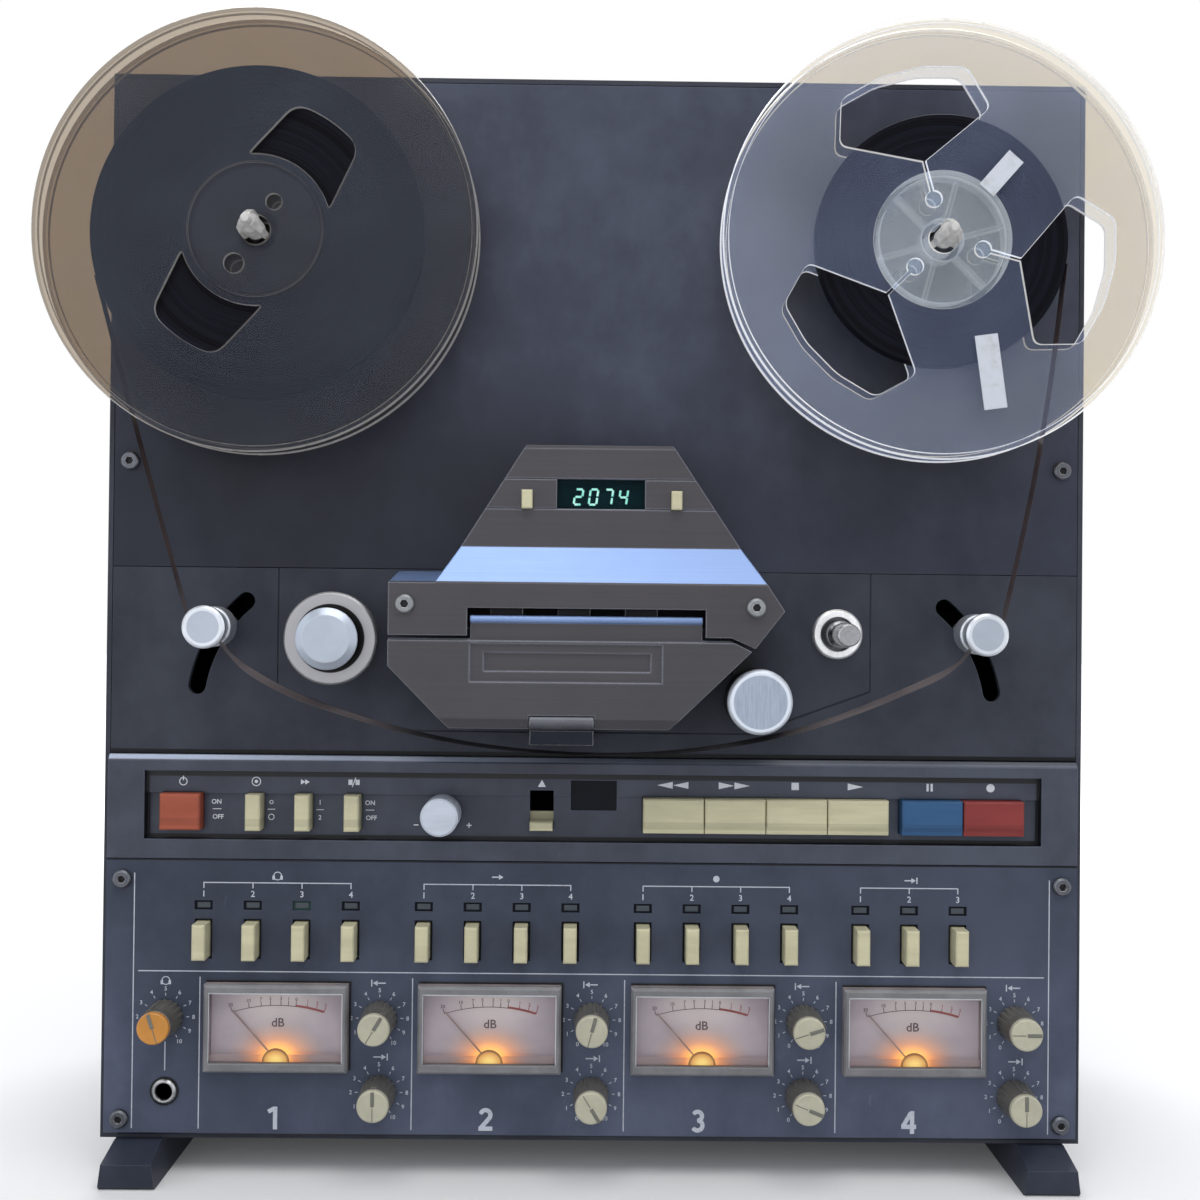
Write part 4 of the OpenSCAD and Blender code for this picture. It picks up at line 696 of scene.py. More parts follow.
bm = bmesh.new()
for k, figure in enumerate("2074"):
    x = counter_x + 6.1 * (k - 1.5)
    for name in segments[figure]:
        dx, dy, turn = bars[name]
        upright = turn == 90
        brick(bm, x + dx + 0.14 * dy, counter_y - 0.9 + dy, 2.5, 0.86, figures_out,
              figures_out + (0.1 if upright else 0.13), turn - 8 * upright)
lit, shader, place = blank("counter_light", Base_Color=linear(40, 90, 80), Roughness=0.4, Emission_Strength=1.3)
flicker = place.noise(500, 2).ramp(0.3, 0.7)
fill(shader, Emission_Color=flicker.mix(linear(128, 226, 208), linear(190, 250, 238)))
piece("counter_figures", bm, lit, deck_face)

# Reels: two moulded flanges with threading windows on a hub. The supply reel is smoked styrene and
# the takeup reel is clear styrene, so the deck, the tape and the wall show through them.
reel_x = {"supply": -138, "takeup": 138}
reel_y = 388
reel_r = 89.0
rim_r = reel_r - 2.4
hub_r = 28
axis_r = 6.0
reel_back = (deck_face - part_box("takeup_reel")[1][1]) / mm
reel_front = (deck_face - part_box("takeup_reel")[0][1]) / mm
flange = 2.2
bead = 0.5


def curved(start, corner, end, steps=6):
    """Points of a curve that rounds a corner off between a start and an end."""
    a, b, c = Vector(start), Vector(corner), Vector(end)
    shares = [k / steps for k in range(steps + 1)]
    return [tuple((1 - t) ** 2 * a + 2 * t * (1 - t) * b + t ** 2 * c) for t in shares]


def rounded(outline, radius):
    """Rounds each corner of a closed outline by a curve that starts a radius away from it."""
    soft = []
    for k, corner in enumerate(outline):
        p = Vector(corner)
        before = (Vector(outline[k - 1]) - p).normalized() * radius
        after = (Vector(outline[(k + 1) % len(outline)]) - p).normalized() * radius
        soft += curved(p + before, p, p + after)
    return soft


def cut_sheet(bm, outlines, low, top, round_by, x=0, y=0):
    """A flat moulding with holes: the first outline is the edge, and its rims are rounded."""
    curve = bpy.data.curves.new("sheet", "CURVE")
    curve.dimensions = "2D"
    curve.fill_mode = "BOTH"
    curve.extrude = ((top - low) / 2 - round_by) * mm
    curve.bevel_depth = round_by * mm
    curve.bevel_resolution = 2
    curve.offset = -round_by * mm
    for outline in outlines:
        line = curve.splines.new("POLY")
        line.points.add(len(outline) - 1)
        line.use_cyclic_u = True
        for point, spot in zip(line.points, outline):
            point.co = (spot[0] * mm, spot[1] * mm, 0, 1)
    mesh = flat_mesh(curve)
    drop_in(bm, mesh, x, y, (low + top) / 2)
    bpy.data.meshes.remove(mesh)


def round_at(bm, x, y):
    """Moves a shape drawn about the sheet's origin to its centre on the deck."""
    bm.transform(on_front(deck_face) @ Matrix.Translation((x * mm, y * mm, 0)))


def let_through(shader, place, share, tint):
    """Keeps a share of a shader and lets the rest of the light pass with a tint."""
    clear = place.node("BsdfTransparent", inputs={"Color": tint})
    both = place.node("MixShader", inputs={0: share, 1: clear, 2: Wire(place.tree, shader.outputs[0])})
    feed(place.tree.nodes["Material Output"].inputs["Surface"], both)


def see_through(name, tint, haze, cover, back_cover, edge_glint_tone, edge_cover, rough=0.25):
    """Clear moulding: light passes with a tint, and a share is scattered by its front and by its back flange,
    the back one more as painted light. Its edges carry a painted glint, a paler tone that also glows."""
    material, shader, place = blank(name, Specular_IOR_Level=0.6, Emission_Strength=0.3)
    facing = abs(place.node("TexCoord", out="Normal").split()[1])
    edge = facing.ramp(0.85, 0.4)
    cloud = place.noise(14, 4, 0.6).ramp(0.25, 0.75)
    scratch = place.stretched(1, 1, 0.06).noise(260, 3, 0.6).ramp(0.66, 0.74)
    middle = deck_face - (reel_back + reel_front) / 2 * mm
    # The back flange scatters more: painted light.
    cover = cover + place.split()[1].ramp(middle, middle + mm) * (back_cover - cover)
    tone = edge.mix((cloud * 0.7 + scratch * 0.3).mix(haze, shade(haze, 1.2)), edge_glint_tone)
    # Edges take a painted glint that glows.
    fill(shader, Base_Color=tone, Emission_Color=edge.mix(black, edge_glint_tone), Roughness=rough + cloud * 0.1)
    share = cover * (0.85 + cloud * 0.3 + scratch * 0.25) + edge * (edge_cover - cover)
    let_through(shader, place, share, tint)
    return material


smoke = (0.733, 0.673, 0.591, 1)
smoked = see_through("smoked_styrene", smoke, (0.17, 0.22, 0.33, 1), 0.09, 0.10, (0.42, 0.41, 0.40, 1), 0.5)
smoked_hub = see_through("smoked_hub", smoke, (0.13, 0.16, 0.24, 1), 0.12, 0.12, (0.08, 0.08, 0.09, 1), 0.2)
clear = see_through("clear_styrene", (0.963, 0.925, 0.835, 1), (0.33, 0.43, 0.76, 1), 0.075, 0.18,
                    (0.94, 0.96, 1.0, 1), 0.8)
frosted = see_through("frosted_styrene", (0.96, 0.95, 0.93, 1), (0.44, 0.55, 0.72, 1), 0.32, 0.32,
                      (0.72, 0.80, 0.94, 1), 0.6, 0.5)


def supply_openings():
    """The smoked reel's holes: the axis, two at the hub, and two windows that are wider at the hub."""
    holes = [ring_points(axis_r)]
    for radius, reach, turn in ((4.0, 16, 238), (3.2, 13.4, 57)):
        holes.append(ring_points(radius, 0, 360, 40, ray(turn) * reach))
    for turn in (56, 236):
        low = ring_points(hub_r + 2.5, turn + 40, turn - 40, 40)
        high = ring_points(hub_r + 24.8, turn - 17, turn + 17, 28)
        first = [Vector(low[-1]).lerp(Vector(high[0]), share) for share in (0.16, 0.8)]
        last = [Vector(high[-1]).lerp(Vector(low[0]), share) for share in (0.2, 0.84)]
        holes.append(low[1:-1] + curved(low[-2], low[-1], first[0]) + curved(first[1], high[0], high[5])
                     + high[6:-6] + curved(high[-6], high[-1], last[0]) + curved(last[1], low[0], low[1]))
    return holes


def takeup_openings():
    """The clear reel's windows: a wide fan that narrows to a slit and ends in a round hole."""
    holes = [ring_points(axis_r)]
    for turn in (105, 225, 345):
        ahead = ray(turn)
        aside = Vector((-ahead.y, ahead.x))
        neck = ahead * (hub_r + 3.4)
        far = ring_points(hub_r + 41.5, turn - 22, turn + 22, 3)
        fan = [neck - aside * 0.7, ray(turn - 34) * (hub_r + 28), *far, ray(turn + 34) * (hub_r + 28),
               neck + aside * 0.7]
        hole = ring_points(3.3, turn + 12, turn + 348, 26, ahead * 16.3)
        mouth = ahead * (hub_r + 4)
        slit = [tuple(mouth + aside * 0.55), *hole, tuple(mouth - aside * 0.55)]
        holes.append(slit + rounded(fan, 3.2)[7:-7])
    return holes


inner_back = reel_back + bead + flange
inner_front = reel_front - bead - flange
for side, styrene, hub_styrene, openings, slot in (
        ("supply", smoked, smoked_hub, supply_openings(), "smoked_reel"),
        ("takeup", clear, frosted, takeup_openings(), "clear_reel")):
    bm = bmesh.new()
    for low, top in ((reel_back + bead, inner_back), (inner_front, reel_front - bead)):
        cut_sheet(bm, [ring_points(rim_r, steps=180)] + openings, low, top, 0.35)
        turned(bm, 0, 0, [(rim_r + 0.02, low), (rim_r + 0.7, low - bead), (reel_r - 0.5, low - bead),
                          (reel_r, low + 0.3), (reel_r, top - 0.3), (reel_r - 0.5, top + bead),
                          (rim_r + 0.7, top + bead), (rim_r + 0.02, top)], 180)
    if side == "supply":
        hoop(bm, 0, 0, 26.6, 27.2, top - 0.1, top + 0.3, 120)
    round_at(bm, reel_x[side], reel_y)
    reel = piece(side + "_reel_moulding", bm, styrene, body=side + "_reel_set")
    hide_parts(side + "_reel")

    web_back, web_front = inner_front - 2.6, inner_front - 1.2
    bm = bmesh.new()
    hoop(bm, 0, 0, hub_r - 2.4, hub_r - 0.1, inner_back, inner_front, 120)
    hoop(bm, 0, 0, axis_r, 8.6, inner_back, inner_front, 60)
    hoop(bm, 0, 0, 8.6, hub_r - 2.4, web_back, web_front, 120)
    for turn in range(15, 360, 60):
        brick(bm, *ray(turn) * 17, 17.2, 1.4, inner_back, web_back, turn)
    round_at(bm, reel_x[side], reel_y)
    piece(side + "_reel_hub", bm, hub_styrene, body=side + "_reel_set")

# Stickers: two strips of blank paper on the clear reel's front flange, pale and a little grubby
# from handling.
paper, shader, place = blank("sticker_paper", Roughness=0.75)
grubby = place.noise(220, 4, 0.6).ramp(0.45, 0.8)
fill(shader, Base_Color=grubby.mix(linear(196, 200, 208), linear(176, 178, 180)))
sticker_back = reel_front - bead
sticker_front = sticker_back + 0.12
bm = bmesh.new()
brick(bm, 22.6, 26.2, 7.6, 18.2, sticker_back, sticker_front, -41)
brick(bm, 19.0, -53.6, 9.3, 30, sticker_back, sticker_front, 8)
round_at(bm, reel_x["takeup"], reel_y)
piece("reel_stickers", bm, paper, body="takeup_reel_set")

# Tape packs: oxide tape wound so tightly that each reads as a solid disc, its turns standing
# slightly proud here and there as fine rings.


def rings(radius, scale, detail, rough=0.5):
    """Noise that changes only with a radius."""
    return radius.node("TexNoise", {"noise_dimensions": "1D"},
                       {"W": radius, "Scale": scale, "Detail": detail, "Roughness": rough}, out="Fac")


wound, shader, place = blank("wound_tape", Specular_IOR_Level=0.04)
from_axis = off_axis(place, reel_x["supply"], reel_y).least(off_axis(place, reel_x["takeup"], reel_y))
turns = rings(from_axis, 1500, 4, 0.7)
bands = rings(from_axis, 260, 2)
layers = (turns * 0.5 + bands * 0.5).ramp(0.35, 0.68)
fill(shader, Base_Color=layers.mix(linear(5, 5, 8), linear(25, 26, 36)), Roughness=0.34 + turns * 0.2,
     Normal=turns.bump(0.06 * mm, 0.5))
shuffle = random.Random(11)
for side in ("supply", "takeup"):
    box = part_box(side + "_tape_pack")
    pack_r = (box[1][0] - box[0][0]) / 2 / mm
    low = (deck_face - box[1][1]) / mm
    top = (deck_face - box[0][1]) / mm
    profile = [(pack_r, low + 0.3), (pack_r, top - 0.3)]
    radius = pack_r - 0.2
    while radius > hub_r + 1:
        level = top - shuffle.choice((0.02, 0.05, 0.1, 0.22))
        width = shuffle.uniform(0.4, 1.8)
        profile += [(radius, level), (max(radius - width, hub_r + 0.6), level)]
        radius -= width + 0.05
    profile += [(hub_r, top - 0.3), (hub_r, low + 0.3)]
    bm = bmesh.new()
    turned(bm, 0, 0, profile, 128)
    round_at(bm, reel_x[side], reel_y)
    pack = piece(side + "_tape_turns", bm, wound, body=side + "_reel_set", smooth=20)
    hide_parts(side + "_tape_pack")

# Spindles and reel tables: a black turned table carries a moulded three-finned tip, painted paler
# along the edges of its fins as a highlight.


def proud(place):
    """How far a point stands out from the deck's face."""
    return deck_face - place.split()[1]


tip, shader, place = blank("spindle_plastic", Specular_IOR_Level=0.3)
soft, turn = edged(place, 0.5 * mm)
worn = place.noise(240, 3, 0.5)
fin = worn.ramp(0.3, 0.7).mix(linear(172, 170, 168), linear(204, 202, 198))
# Fin edges painted paler as a highlight.
fin = (turn * 2).ramp(0, 0.5).mix(fin, linear(235, 233, 230))
fill(shader, Base_Color=proud(place).ramp(27 * mm, 28 * mm).mix(linear(34, 35, 38), fin),
     Roughness=0.3 + worn * 0.2, Normal=worn.bump(0.03 * mm, 0.2, soft))
dress(tip, "supply_spindle", "takeup_spindle")

# Tape guides, impedance roller, capstan and pinch roller: turned and anodised aluminium,
# a ground steel capstan and a black rubber tyre under the pinch roller's cap.
roller_at = (-108, 224.7)
pinch_at = (66, 201)
guides = {-1: (-156.69, 228.93), 1: (156.69, 228.93)}
lathe_marks = (0.15, 6, 0.15)


def roller_tone(place):
    """Pale flange and cap; the groove for the tape between them is painted dark as shade."""
    out = proud(place)
    radius = off_axis(place, *roller_at)
    # The tape groove, painted dark as shade.
    groove = out.ramp(18.6 * mm, 18.8 * mm) * out.ramp(26 * mm, 25.9 * mm) * radius.ramp(14.2 * mm, 13.8 * mm)
    bright = out.ramp(20 * mm, 21 * mm).mix(linear(147, 147, 151), linear(156, 164, 176))
    return groove.mix(bright, linear(14, 14, 16))


def guide_tone(place):
    """A polished rim round a satin face."""
    radius = off_axis(place, *guides[-1]).least(off_axis(place, *guides[1]))
    return radius.ramp(6.3 * mm, 6.6 * mm).mix(linear(158, 166, 178), linear(196, 201, 209))


dress(metal("satin_roller", roller_tone, 0.36, lathe_marks, 0.1, 0.7, 0.75), "impedance_roller")
dress(metal("satin_guide", guide_tone, 0.34, lathe_marks, 0.1, 0.7, 0.75), "supply_tension_arm",
      "takeup_tension_arm")
dress(metal("ground_steel", linear(150, 152, 156), 0.24), "capstan")
dress(sprayed("black_steel", linear(26, 27, 30), 0.4), "pinch_arm")

tyre, shader, place = blank("pinch_tyre")
cap = proud(place).ramp(25.9 * mm, 26.05 * mm)
cloud = place.stretched(6, 1, 0.6).noise(180, 4, 0.6)
rim = off_axis(place, *pinch_at).ramp(10.6 * mm, 11.0 * mm)
plate = cloud.ramp(0.3, 0.7).mix(linear(134, 144, 159), linear(149, 159, 174))
plate = rim.mix(plate, linear(192, 199, 209))
fill(shader, Base_Color=cap.mix(linear(20, 20, 21), plate), Metallic=cap * 0.75,
     Roughness=0.62 - cap * 0.26 + (cloud - 0.5) * 0.15, Normal=edged(place, 0.7 * mm)[0])
dress(tyre, "pinch_roller")

# Tape: quarter-inch brown oxide tape. It leaves each pack for the tension arm's guide, turns
# round it and hangs slack below the heads to the other guide.
tape_out = 22.5
tape_wide = 6.35
drum_r = 6
tape_gap = 0.45
run_steps = 24
hang = [(-148, 218.6), (-141, 212.4), (-129.6, 205.6), (-117, 200), (-104, 195.6), (-86, 190.2), (-66, 185.6),
        (-47, 182.4), (-28, 180.4), (-8, 179.3), (12, 179.2), (32, 180.4), (51, 182.8), (68, 186), (87, 190.8),
        (107, 198), (125, 205.6), (140, 212.6), (148, 218.2)]
oxide, shader, place = blank("oxide_tape", Specular_IOR_Level=0.35)
cloud = place.noise(60, 3)
streak = place.stretched(1, 260, 1).noise(4, 4, 0.6)
grain = (streak * 0.5 + cloud * 0.5).ramp(0.3, 0.7)
x, _, z = place.split()
# One tape in painted light and shade: shaded below the heads, lit at the sides, browner on the runs above.
shaded_below_heads = grain.mix(linear(28, 27, 29), linear(48, 45, 47))
lit_at_sides = grain.mix(linear(70, 64, 65), linear(100, 93, 94))
on_deck = grain.mix(linear(50, 41, 41), linear(82, 68, 66))
tone = abs(x).ramp(60 * mm, 105 * mm).mix(shaded_below_heads, lit_at_sides)
fill(shader, Base_Color=z.ramp(232 * mm, 250 * mm).mix(tone, on_deck), Roughness=0.24 + cloud * 0.2)


def leave(side, pack_r):
    """Where the tape leaves its pack, where it meets the guide's drum, and the angle of both."""
    middle = Vector((side * reel_x["takeup"], reel_y))
    guide = Vector(guides[side])
    way = guide - middle
    angle = degrees(atan2(way.y, way.x) + side * acos((pack_r - drum_r) / way.length))
    return middle + ray(angle) * (pack_r + tape_gap), guide + ray(angle) * (drum_r + tape_gap), angle


def smooth_line(points, steps=6):
    """Points along a curve through the given ones."""
    line = [Vector(p) for p in points]
    line = [2 * line[0] - line[1]] + line + [2 * line[-1] - line[-2]]
    run = []
    for k in range(1, len(line) - 2):
        p0, p1, p2, p3 = line[k - 1:k + 3]
        for s in range(steps):
            t = s / steps
            run.append(0.5 * (2 * p1 + (p2 - p0) * t + (2 * p0 - 5 * p1 + 4 * p2 - p3) * t ** 2
                              + (3 * p1 - p0 - 3 * p2 + p3) * t ** 3))
    return run + [line[-2]]


def ribbon(name, points, lean):
    """A length of tape on edge along points in millimetres, its front edge lowered by the lean at each;
    returns it and its line in metres."""
    bm = bmesh.new()
    rail = [bm.verts.new((x * mm, (y + drop / 2) * mm, (tape_out - tape_wide / 2) * mm))
            for (x, y), drop in zip(points, lean)]
    edges = [bm.edges.new(pair) for pair in zip(rail, rail[1:])]
    drops = {vert.co.copy().freeze(): drop for vert, drop in zip(rail, lean)}
    for vert in bmesh.ops.extrude_edge_only(bm, edges=edges)["geom"]:
        if isinstance(vert, bmesh.types.BMVert):
            vert.co += Vector((0, -drops[vert.co.copy().freeze()] * mm, tape_wide * mm))
    bmesh.ops.solidify(bm, geom=bm.faces[:], thickness=0.25 * mm)
    made = piece(name, bm, oxide, deck_face, None)
    return made, [on_front(deck_face) @ Vector((x * mm, y * mm, tape_out * mm)) for x, y in points]


def string_up(made, line):
    """Bakes a length of tape in place and hides the imported tape; the length of its line is worked out but not
    used.
    """
    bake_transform(made)
    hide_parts("tape")
    long = sum((b - a).length for a, b in zip(line, line[1:]))


half = len(hang) // 2
slack = {-1: hang[:half + 1], 1: hang[half:][::-1]}
pack_size = {-1: 67, 1: 51}
bow = {-1: -0.5, 1: 3}
wrap_end = {-1: 312, 1: -132}
for side, reel in ((-1, "supply"), (1, "takeup")):
    off, meet, angle = leave(side, pack_size[side])
    out = Vector((bow[side], 0))
    points = [off + (meet - off) * k / run_steps + out * sin(pi * k / run_steps) for k in range(run_steps + 1)]
    made, line = ribbon(reel + "_tape_run", points, [0] * len(points))
    string_up(made, line)

    first = angle if side > 0 else angle % 360
    wrap = ring_points(drum_r + tape_gap, first, wrap_end[side], run_steps, guides[side])
    hanging = smooth_line(slack[side])
    shares = [k / (len(hanging) - 1) for k in range(len(hanging))]
    lean = [0] * len(wrap) + [2.4 * min(1, 7 * t) * (1 - 0.8 * t) for t in shares]
    made, line = ribbon(reel + "_tape_slack", [Vector(p) for p in wrap] + hanging, lean)
    string_up(made, line)

# Keys and buttons: moulded plastic caps in cream, red and blue, rubbed smooth on their faces,
# with grime gathered toward the panel, paler near edges as a painted highlight, and painted shade along a
# shallow finger groove on each key.
key_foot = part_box("stop_button")[0][2]


def plastic(name, colour, rough=0.38, grime=0.5, groove=0.3):
    """Moulded plastic, paler near edges as a painted highlight. grime says how dark it goes toward the panel,
    and groove how dark the painted shade along the keys' groove is.
    """
    material, shader, place = blank(name, Specular_IOR_Level=0.25)
    cloud = place.stretched(0.4, 1, 2.4).noise(70, 4, 0.6)
    soft, turn = edged(place, 0.5 * mm)
    z = place.split()[2]
    dirty = shade(colour, 0.4)
    tone = cloud.ramp(0.3, 0.7).mix(shade(colour, 0.9), shade(colour, 1.05, 0.004))
    lip = z.ramp(key_foot + 5.0 * mm, key_foot + 4.6 * mm) * z.ramp(key_foot + 1.4 * mm, key_foot + 1.9 * mm)
    # Painted shade along the keys' groove.
    tone = (lip * groove).mix(tone, dirty)
    tone = (proud(place).ramp(3.5 * mm, -0.5 * mm) * grime).mix(tone, dirty)
    # Near edges painted paler as a highlight.
    tone = (turn * 1.5).ramp(0, 0.6).mix(tone, shade(colour, 1.25, 0.03))
    fill(shader, Base_Color=tone, Roughness=rough + (cloud - 0.5) * 0.2,
         Normal=place.noise(1600, 2).bump(0.02 * mm, 0.2, soft))
    return material


dress(plastic("cream_plastic", linear(195, 190, 158)), "reel_size_button", "tape_speed_button", "edit_button",
      "rewind_button", "fast_forward_button", "stop_button", "play_button", "zero_return_button",
      "reset_button", "cue_lever", "phones_select_buttons", "input_select_buttons", "function_select_buttons",
      "output_select_buttons")
dress(plastic("red_plastic", linear(128, 48, 46)), "record_button")
dress(plastic("power_plastic", linear(152, 76, 55)), "power_button")
dress(plastic("blue_plastic", linear(44, 84, 124)), "pause_button")
dress(plastic("pale_plastic", linear(194, 201, 213), 0.3, groove=0), "pitch_knob")

# Level knobs: fluted grey skirts with a cream or orange cap let into the top; a grey pointer bar
# is pressed into each cap from its middle to its edge, and a fine groove runs the other way.
cap_out = 17.6
skirt_grey = linear(90, 88, 84)


def capped(name, skirt, cap):
    """A moulding in two colours that part where its cap begins."""
    material, shader, place = blank(name, Specular_IOR_Level=0.3)
    cloud = place.noise(160, 4, 0.6)
    patches = cloud.ramp(0.3, 0.7)
    soft, turn = edged(place, 0.4 * mm)
    top = proud(place).ramp(cap_out * mm, (cap_out + 0.1) * mm)
    # Near edges of the fluted skirt painted paler as a highlight.
    side = (turn * 2.5).ramp(0, 0.6).mix(patches.mix(shade(skirt, 0.75), skirt), shade(skirt, 2.2, 0.03))
    head = patches.mix(shade(cap, 0.88), cap)
    fill(shader, Base_Color=top.mix(side, head), Roughness=0.42 - top * 0.06 + (cloud - 0.5) * 0.2,
         Normal=soft)
    return material


dress(capped("knob_grey_cream", skirt_grey, linear(184, 181, 160)),
      *(f"{kind}_knob_{k}" for kind in ("input", "output") for k in range(1, 5)))
dress(capped("knob_grey_orange", skirt_grey, linear(198, 136, 62)), "phones_knob")
pointer_grey = plastic("pointer_grey", linear(112, 112, 104), grime=0)
knob_top = (deck_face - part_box("input_knob_1")[0][1]) / mm
settings = {"phones_knob": (phones_x, knob_y[0], 108)}
for k, (upper, lower) in enumerate(zip((59, 75, 18, 0), (90, -58, -22, 90))):
    settings[f"input_knob_{k + 1}"] = (knob_x[k], knob_y[0], upper)
    settings[f"output_knob_{k + 1}"] = (knob_x[k], knob_y[1], lower)
for name, (x, y, turn) in settings.items():
    bm = bmesh.new()
    brick(bm, *ray(turn) * 3.1, 6.0, 1.5, knob_top - 0.1, knob_top + 0.12, turn)
    brick(bm, *ray(turn) * -3.3, 5.6, 0.35, knob_top - 0.1, knob_top + 0.06, turn)
    round_at(bm, x, y)
    piece(name + "_pointer", bm, pointer_grey, body=name)

# Meters: a grey moulded frame round each, a printed dial with a lamp at its foot, a thin needle,
# and an amber strip with a hump that hides the lamp and the needle's pivot. The lamp's glow on the dial
# and on the strip is painted light, with pale strips of painted highlight on the lens edges and black
# strips of painted shade along the frames.
meter_y = 62.8
window_y = 63.1
window_wide, window_high = 55.4, 29.0
dial_out = 2.0
card_top = dial_out + 0.25
strip_back, strip_front, hump_front = 4.7, 5.4, 5.95
lens_out = 7.3
lamp_y = window_y - 13.4

frame_grey, shader, place = blank("meter_frame_plastic", Specular_IOR_Level=0.3)
cloud = place.noise(90, 4, 0.6)
soft, turn = edged(place, 0.6 * mm)
tone = cloud.ramp(0.3, 0.7).mix(linear(109, 109, 111), linear(125, 125, 127))
# Near edges painted paler as a highlight.
tone = (turn * 2).ramp(0, 0.5).mix(tone, linear(160, 161, 164))
# The frame's inner walls, set back from its face, are painted pale as the meter lamp's light on them.
fill(shader, Base_Color=proud(place).ramp(6.4 * mm, 5.6 * mm).mix(tone, linear(150, 140, 140)),
     Roughness=0.4 + (cloud - 0.5) * 0.2, Normal=soft)
dress(frame_grey, "vu_meter_cases")


def from_lamp(place):
    """How far a point of any of the four dials is from its own lamp, in a flattened round, and how far
    aside and above."""
    x, _, z = place.split()
    side = x.math("WRAP", x - meter_x[0] * mm, channel_pitch / 2 * mm, -channel_pitch / 2 * mm)
    rise = z - lamp_y * mm
    return (side * side * 0.55 + rise * rise).root(), side, rise


# The dial's warm glow round its lamp and its paler upper middle are painted light; no lamp lights it.
dial, shader, place = blank("dial_card", Roughness=0.6, Emission_Strength=1.0)
away, side, rise = from_lamp(place)
warm = away.ramp(17 * mm, 2 * mm)
core = away.ramp(8 * mm, 1 * mm)
card = place.noise(45, 3).ramp(0.3, 0.7).mix(linear(164, 155, 160), linear(180, 171, 175))
top_highlight = rise.ramp(7 * mm, 21 * mm) * abs(side).ramp(26 * mm, 4 * mm)
light = (warm * warm * 0.6).mix(top_highlight.mix(linear(86, 78, 84), linear(140, 132, 128)), linear(255, 150, 70))
fill(shader, Base_Color=warm.mix(card, linear(214, 168, 128)),
     Emission_Color=core.mix(light, linear(255, 205, 96)))
bm = bmesh.new()
for x in meter_x:
    brick(bm, x, window_y, window_wide, window_high, dial_out, card_top)
piece("meter_dials", bm, dial, deck_face)

arc_r = 63.7
arc_top = 8.0
arc_steps = 36
red_from = 0.38
scale_marks = ((-1, "20"), (-0.62, "10"), (-0.36, "7"), (-0.16, "5"), (0.06, "3"), (0.22, "1"), (red_from, "0"),
               (0.62, "1"), (0.82, "2"), (1, "3"))


def along(share):
    """A point and its tilt on the dial's scale, from -1 at its left end to 1 at its right."""
    tilt = -17.4 * share
    x, y = ray(90 + tilt) * arc_r
    return x, arc_top - arc_r + y, tilt


black_scale = bmesh.new()
red_scale = bmesh.new()
for x in meter_x:
    for k in range(arc_steps):
        share = -1 + (2 * k + 1) / arc_steps
        dx, dy, tilt = along(share)
        to, lift, thick = (red_scale, 0.3, 0.95) if share > red_from else (black_scale, 0, 0.28)
        brick(to, x + dx, window_y + dy + lift, 1.12, thick, card_top, card_top + ink_thick, tilt)
    for share, text in scale_marks:
        dx, dy, tilt = along(share)
        to = red_scale if share > red_from else black_scale
        brick(to, x + dx - 1.3 * sin(radians(tilt)), window_y + dy + 1.1, 0.3, 2.0, card_top,
              card_top + second_coat, tilt)
        mark(to, text, 1.4, x + dx * 1.04, window_y + dy + 3.0, card_top)
    mark(black_scale, "dB", 3.6, x, window_y + 1.0, card_top)
piece("meter_scales", black_scale, inked("scale_ink", linear(104, 90, 94), 0.15), deck_face)
piece("meter_red_zones", red_scale, inked("red_ink", linear(176, 104, 104), 0.15), deck_face)

# The amber strip and its hump glow round the lamp: painted light.
amber, shader, place = blank("amber_cover", Roughness=0.3, Emission_Strength=1.0)
away, side, rise = from_lamp(place)
near = away.ramp(14 * mm, 0.5 * mm)
hot = away.ramp(6 * mm, 0.5 * mm)
hump = proud(place).ramp((strip_front + 0.05) * mm, (strip_front + 0.15) * mm)
above_pivot = rise + mm
outline = (side * side + above_pivot * above_pivot).root().ramp(4.5 * mm, 5.1 * mm)
strip = near.mix(linear(164, 146, 148), linear(225, 160, 100))
light = hot.mix((near * near).mix(linear(50, 44, 44), linear(235, 120, 40)), linear(255, 236, 140))
veil = hump * (0.85 - hot * 0.6)
fill(shader, Base_Color=hump.mix(strip, outline.mix(linear(168, 118, 70), linear(86, 60, 44))),
     Emission_Color=veil.mix(light, outline.mix(linear(140, 84, 36), linear(44, 24, 12))))
bm = bmesh.new()
for x in meter_x:
    brick(bm, x, window_y - 13.0, 55.2, 2.9, strip_back, strip_front)
    cut_sheet(bm, [ring_points(5.7, 0, 180, 24)], strip_front, hump_front, 0.2, x, window_y - 14.4)
piece("meter_lamp_covers", bm, amber, deck_face)

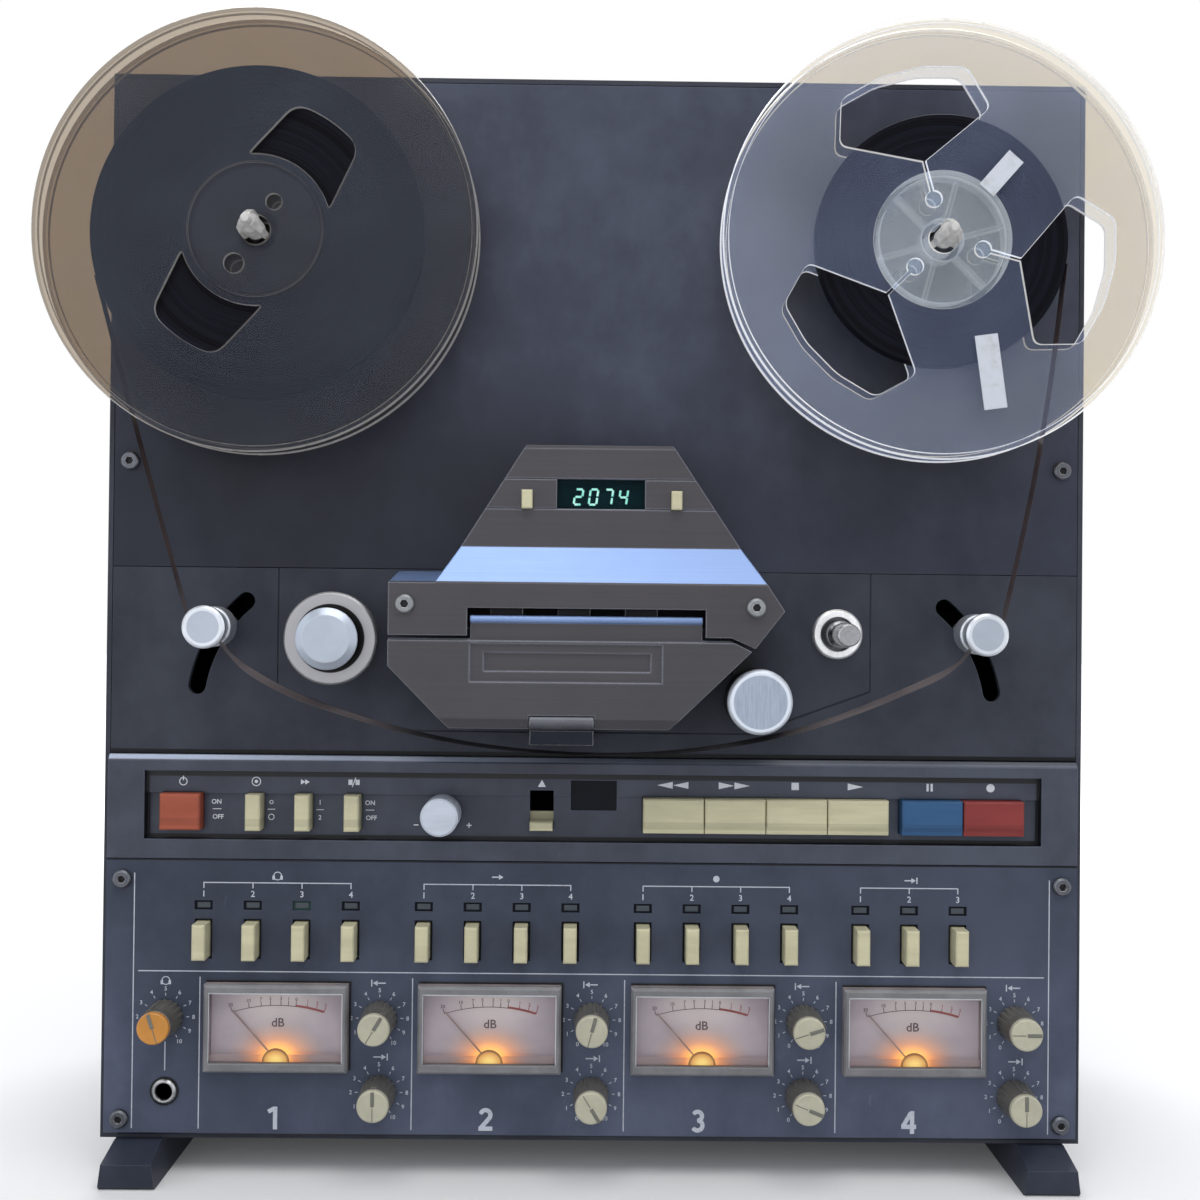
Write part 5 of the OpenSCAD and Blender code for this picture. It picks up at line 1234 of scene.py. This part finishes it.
# Pale strips along each lens's top and sides: a painted highlight.
bm = bmesh.new()
for x in meter_x:
    brick(bm, x, window_y + window_high / 2 - 0.25, window_wide, 0.7, lens_out, lens_out + 0.06)
    for side in (-1, 1):
        brick(bm, x + side * (window_wide / 2 - 0.15), window_y, 0.35, window_high, lens_out, lens_out + 0.05)
piece("lens_glint_strips", bm, plastic("lens_edge", linear(226, 230, 236), 0.15, grime=0), deck_face)

# Black strips along each frame's top and right side: painted shade.
shadow_strip = 0.8
shadow_strip_wide, shadow_strip_high = 60.2, 36.6
bm = bmesh.new()
for x in meter_x:
    brick(bm, x + shadow_strip / 2, meter_y + 18.5, shadow_strip_wide, shadow_strip, top=0.3)
    brick(bm, x + shadow_strip_wide / 2, meter_y + 0.2, shadow_strip, shadow_strip_high, top=0.28)
piece("meter_shadow_strips", bm, black_ring_and_shade, amp_face)

needle, shader, place = blank("needle_paint", Roughness=0.5)
cloud = place.noise(160, 3).ramp(0.3, 0.7)
fill(shader, Base_Color=cloud.mix(linear(150, 128, 124), linear(170, 148, 144)))
dress(needle, *(f"vu_needle_{k}" for k in range(1, 5)))

# Windows: clear styrene lenses over the meters, a tinted pane over the counter, and small dark
# panes beside the cue lever and over the lamps, one of them green.
panes, shader, place = blank("window_panes", Roughness=0.2, Specular_IOR_Level=0.08)
x, _, z = place.split()
lens = z.ramp(85 * mm, 84 * mm)
counter = z.ramp(260 * mm, 261 * mm)
green = z.ramp(116 * mm, 115.9 * mm) * x.ramp(-112 * mm, -112.1 * mm) * x.ramp(-130 * mm, -129.9 * mm)
fill(shader, Base_Color=green.mix(linear(12, 15, 24), linear(40, 62, 58)))
let_through(shader, place, 1 - lens * 0.95 - counter * 0.87, (0.97, 0.97, 0.97, 1))
dress(panes, "clear_windows")

lamp_row_y = 112.8
bm = bmesh.new()
for bank in banks:
    for x in bank:
        brick(bm, x, lamp_row_y, 5.4, 2.3, -0.6, -0.5)
piece("lamp_lenses", bm, plastic("lamp_lens", linear(62, 70, 76), 0.2, grime=0), amp_face)
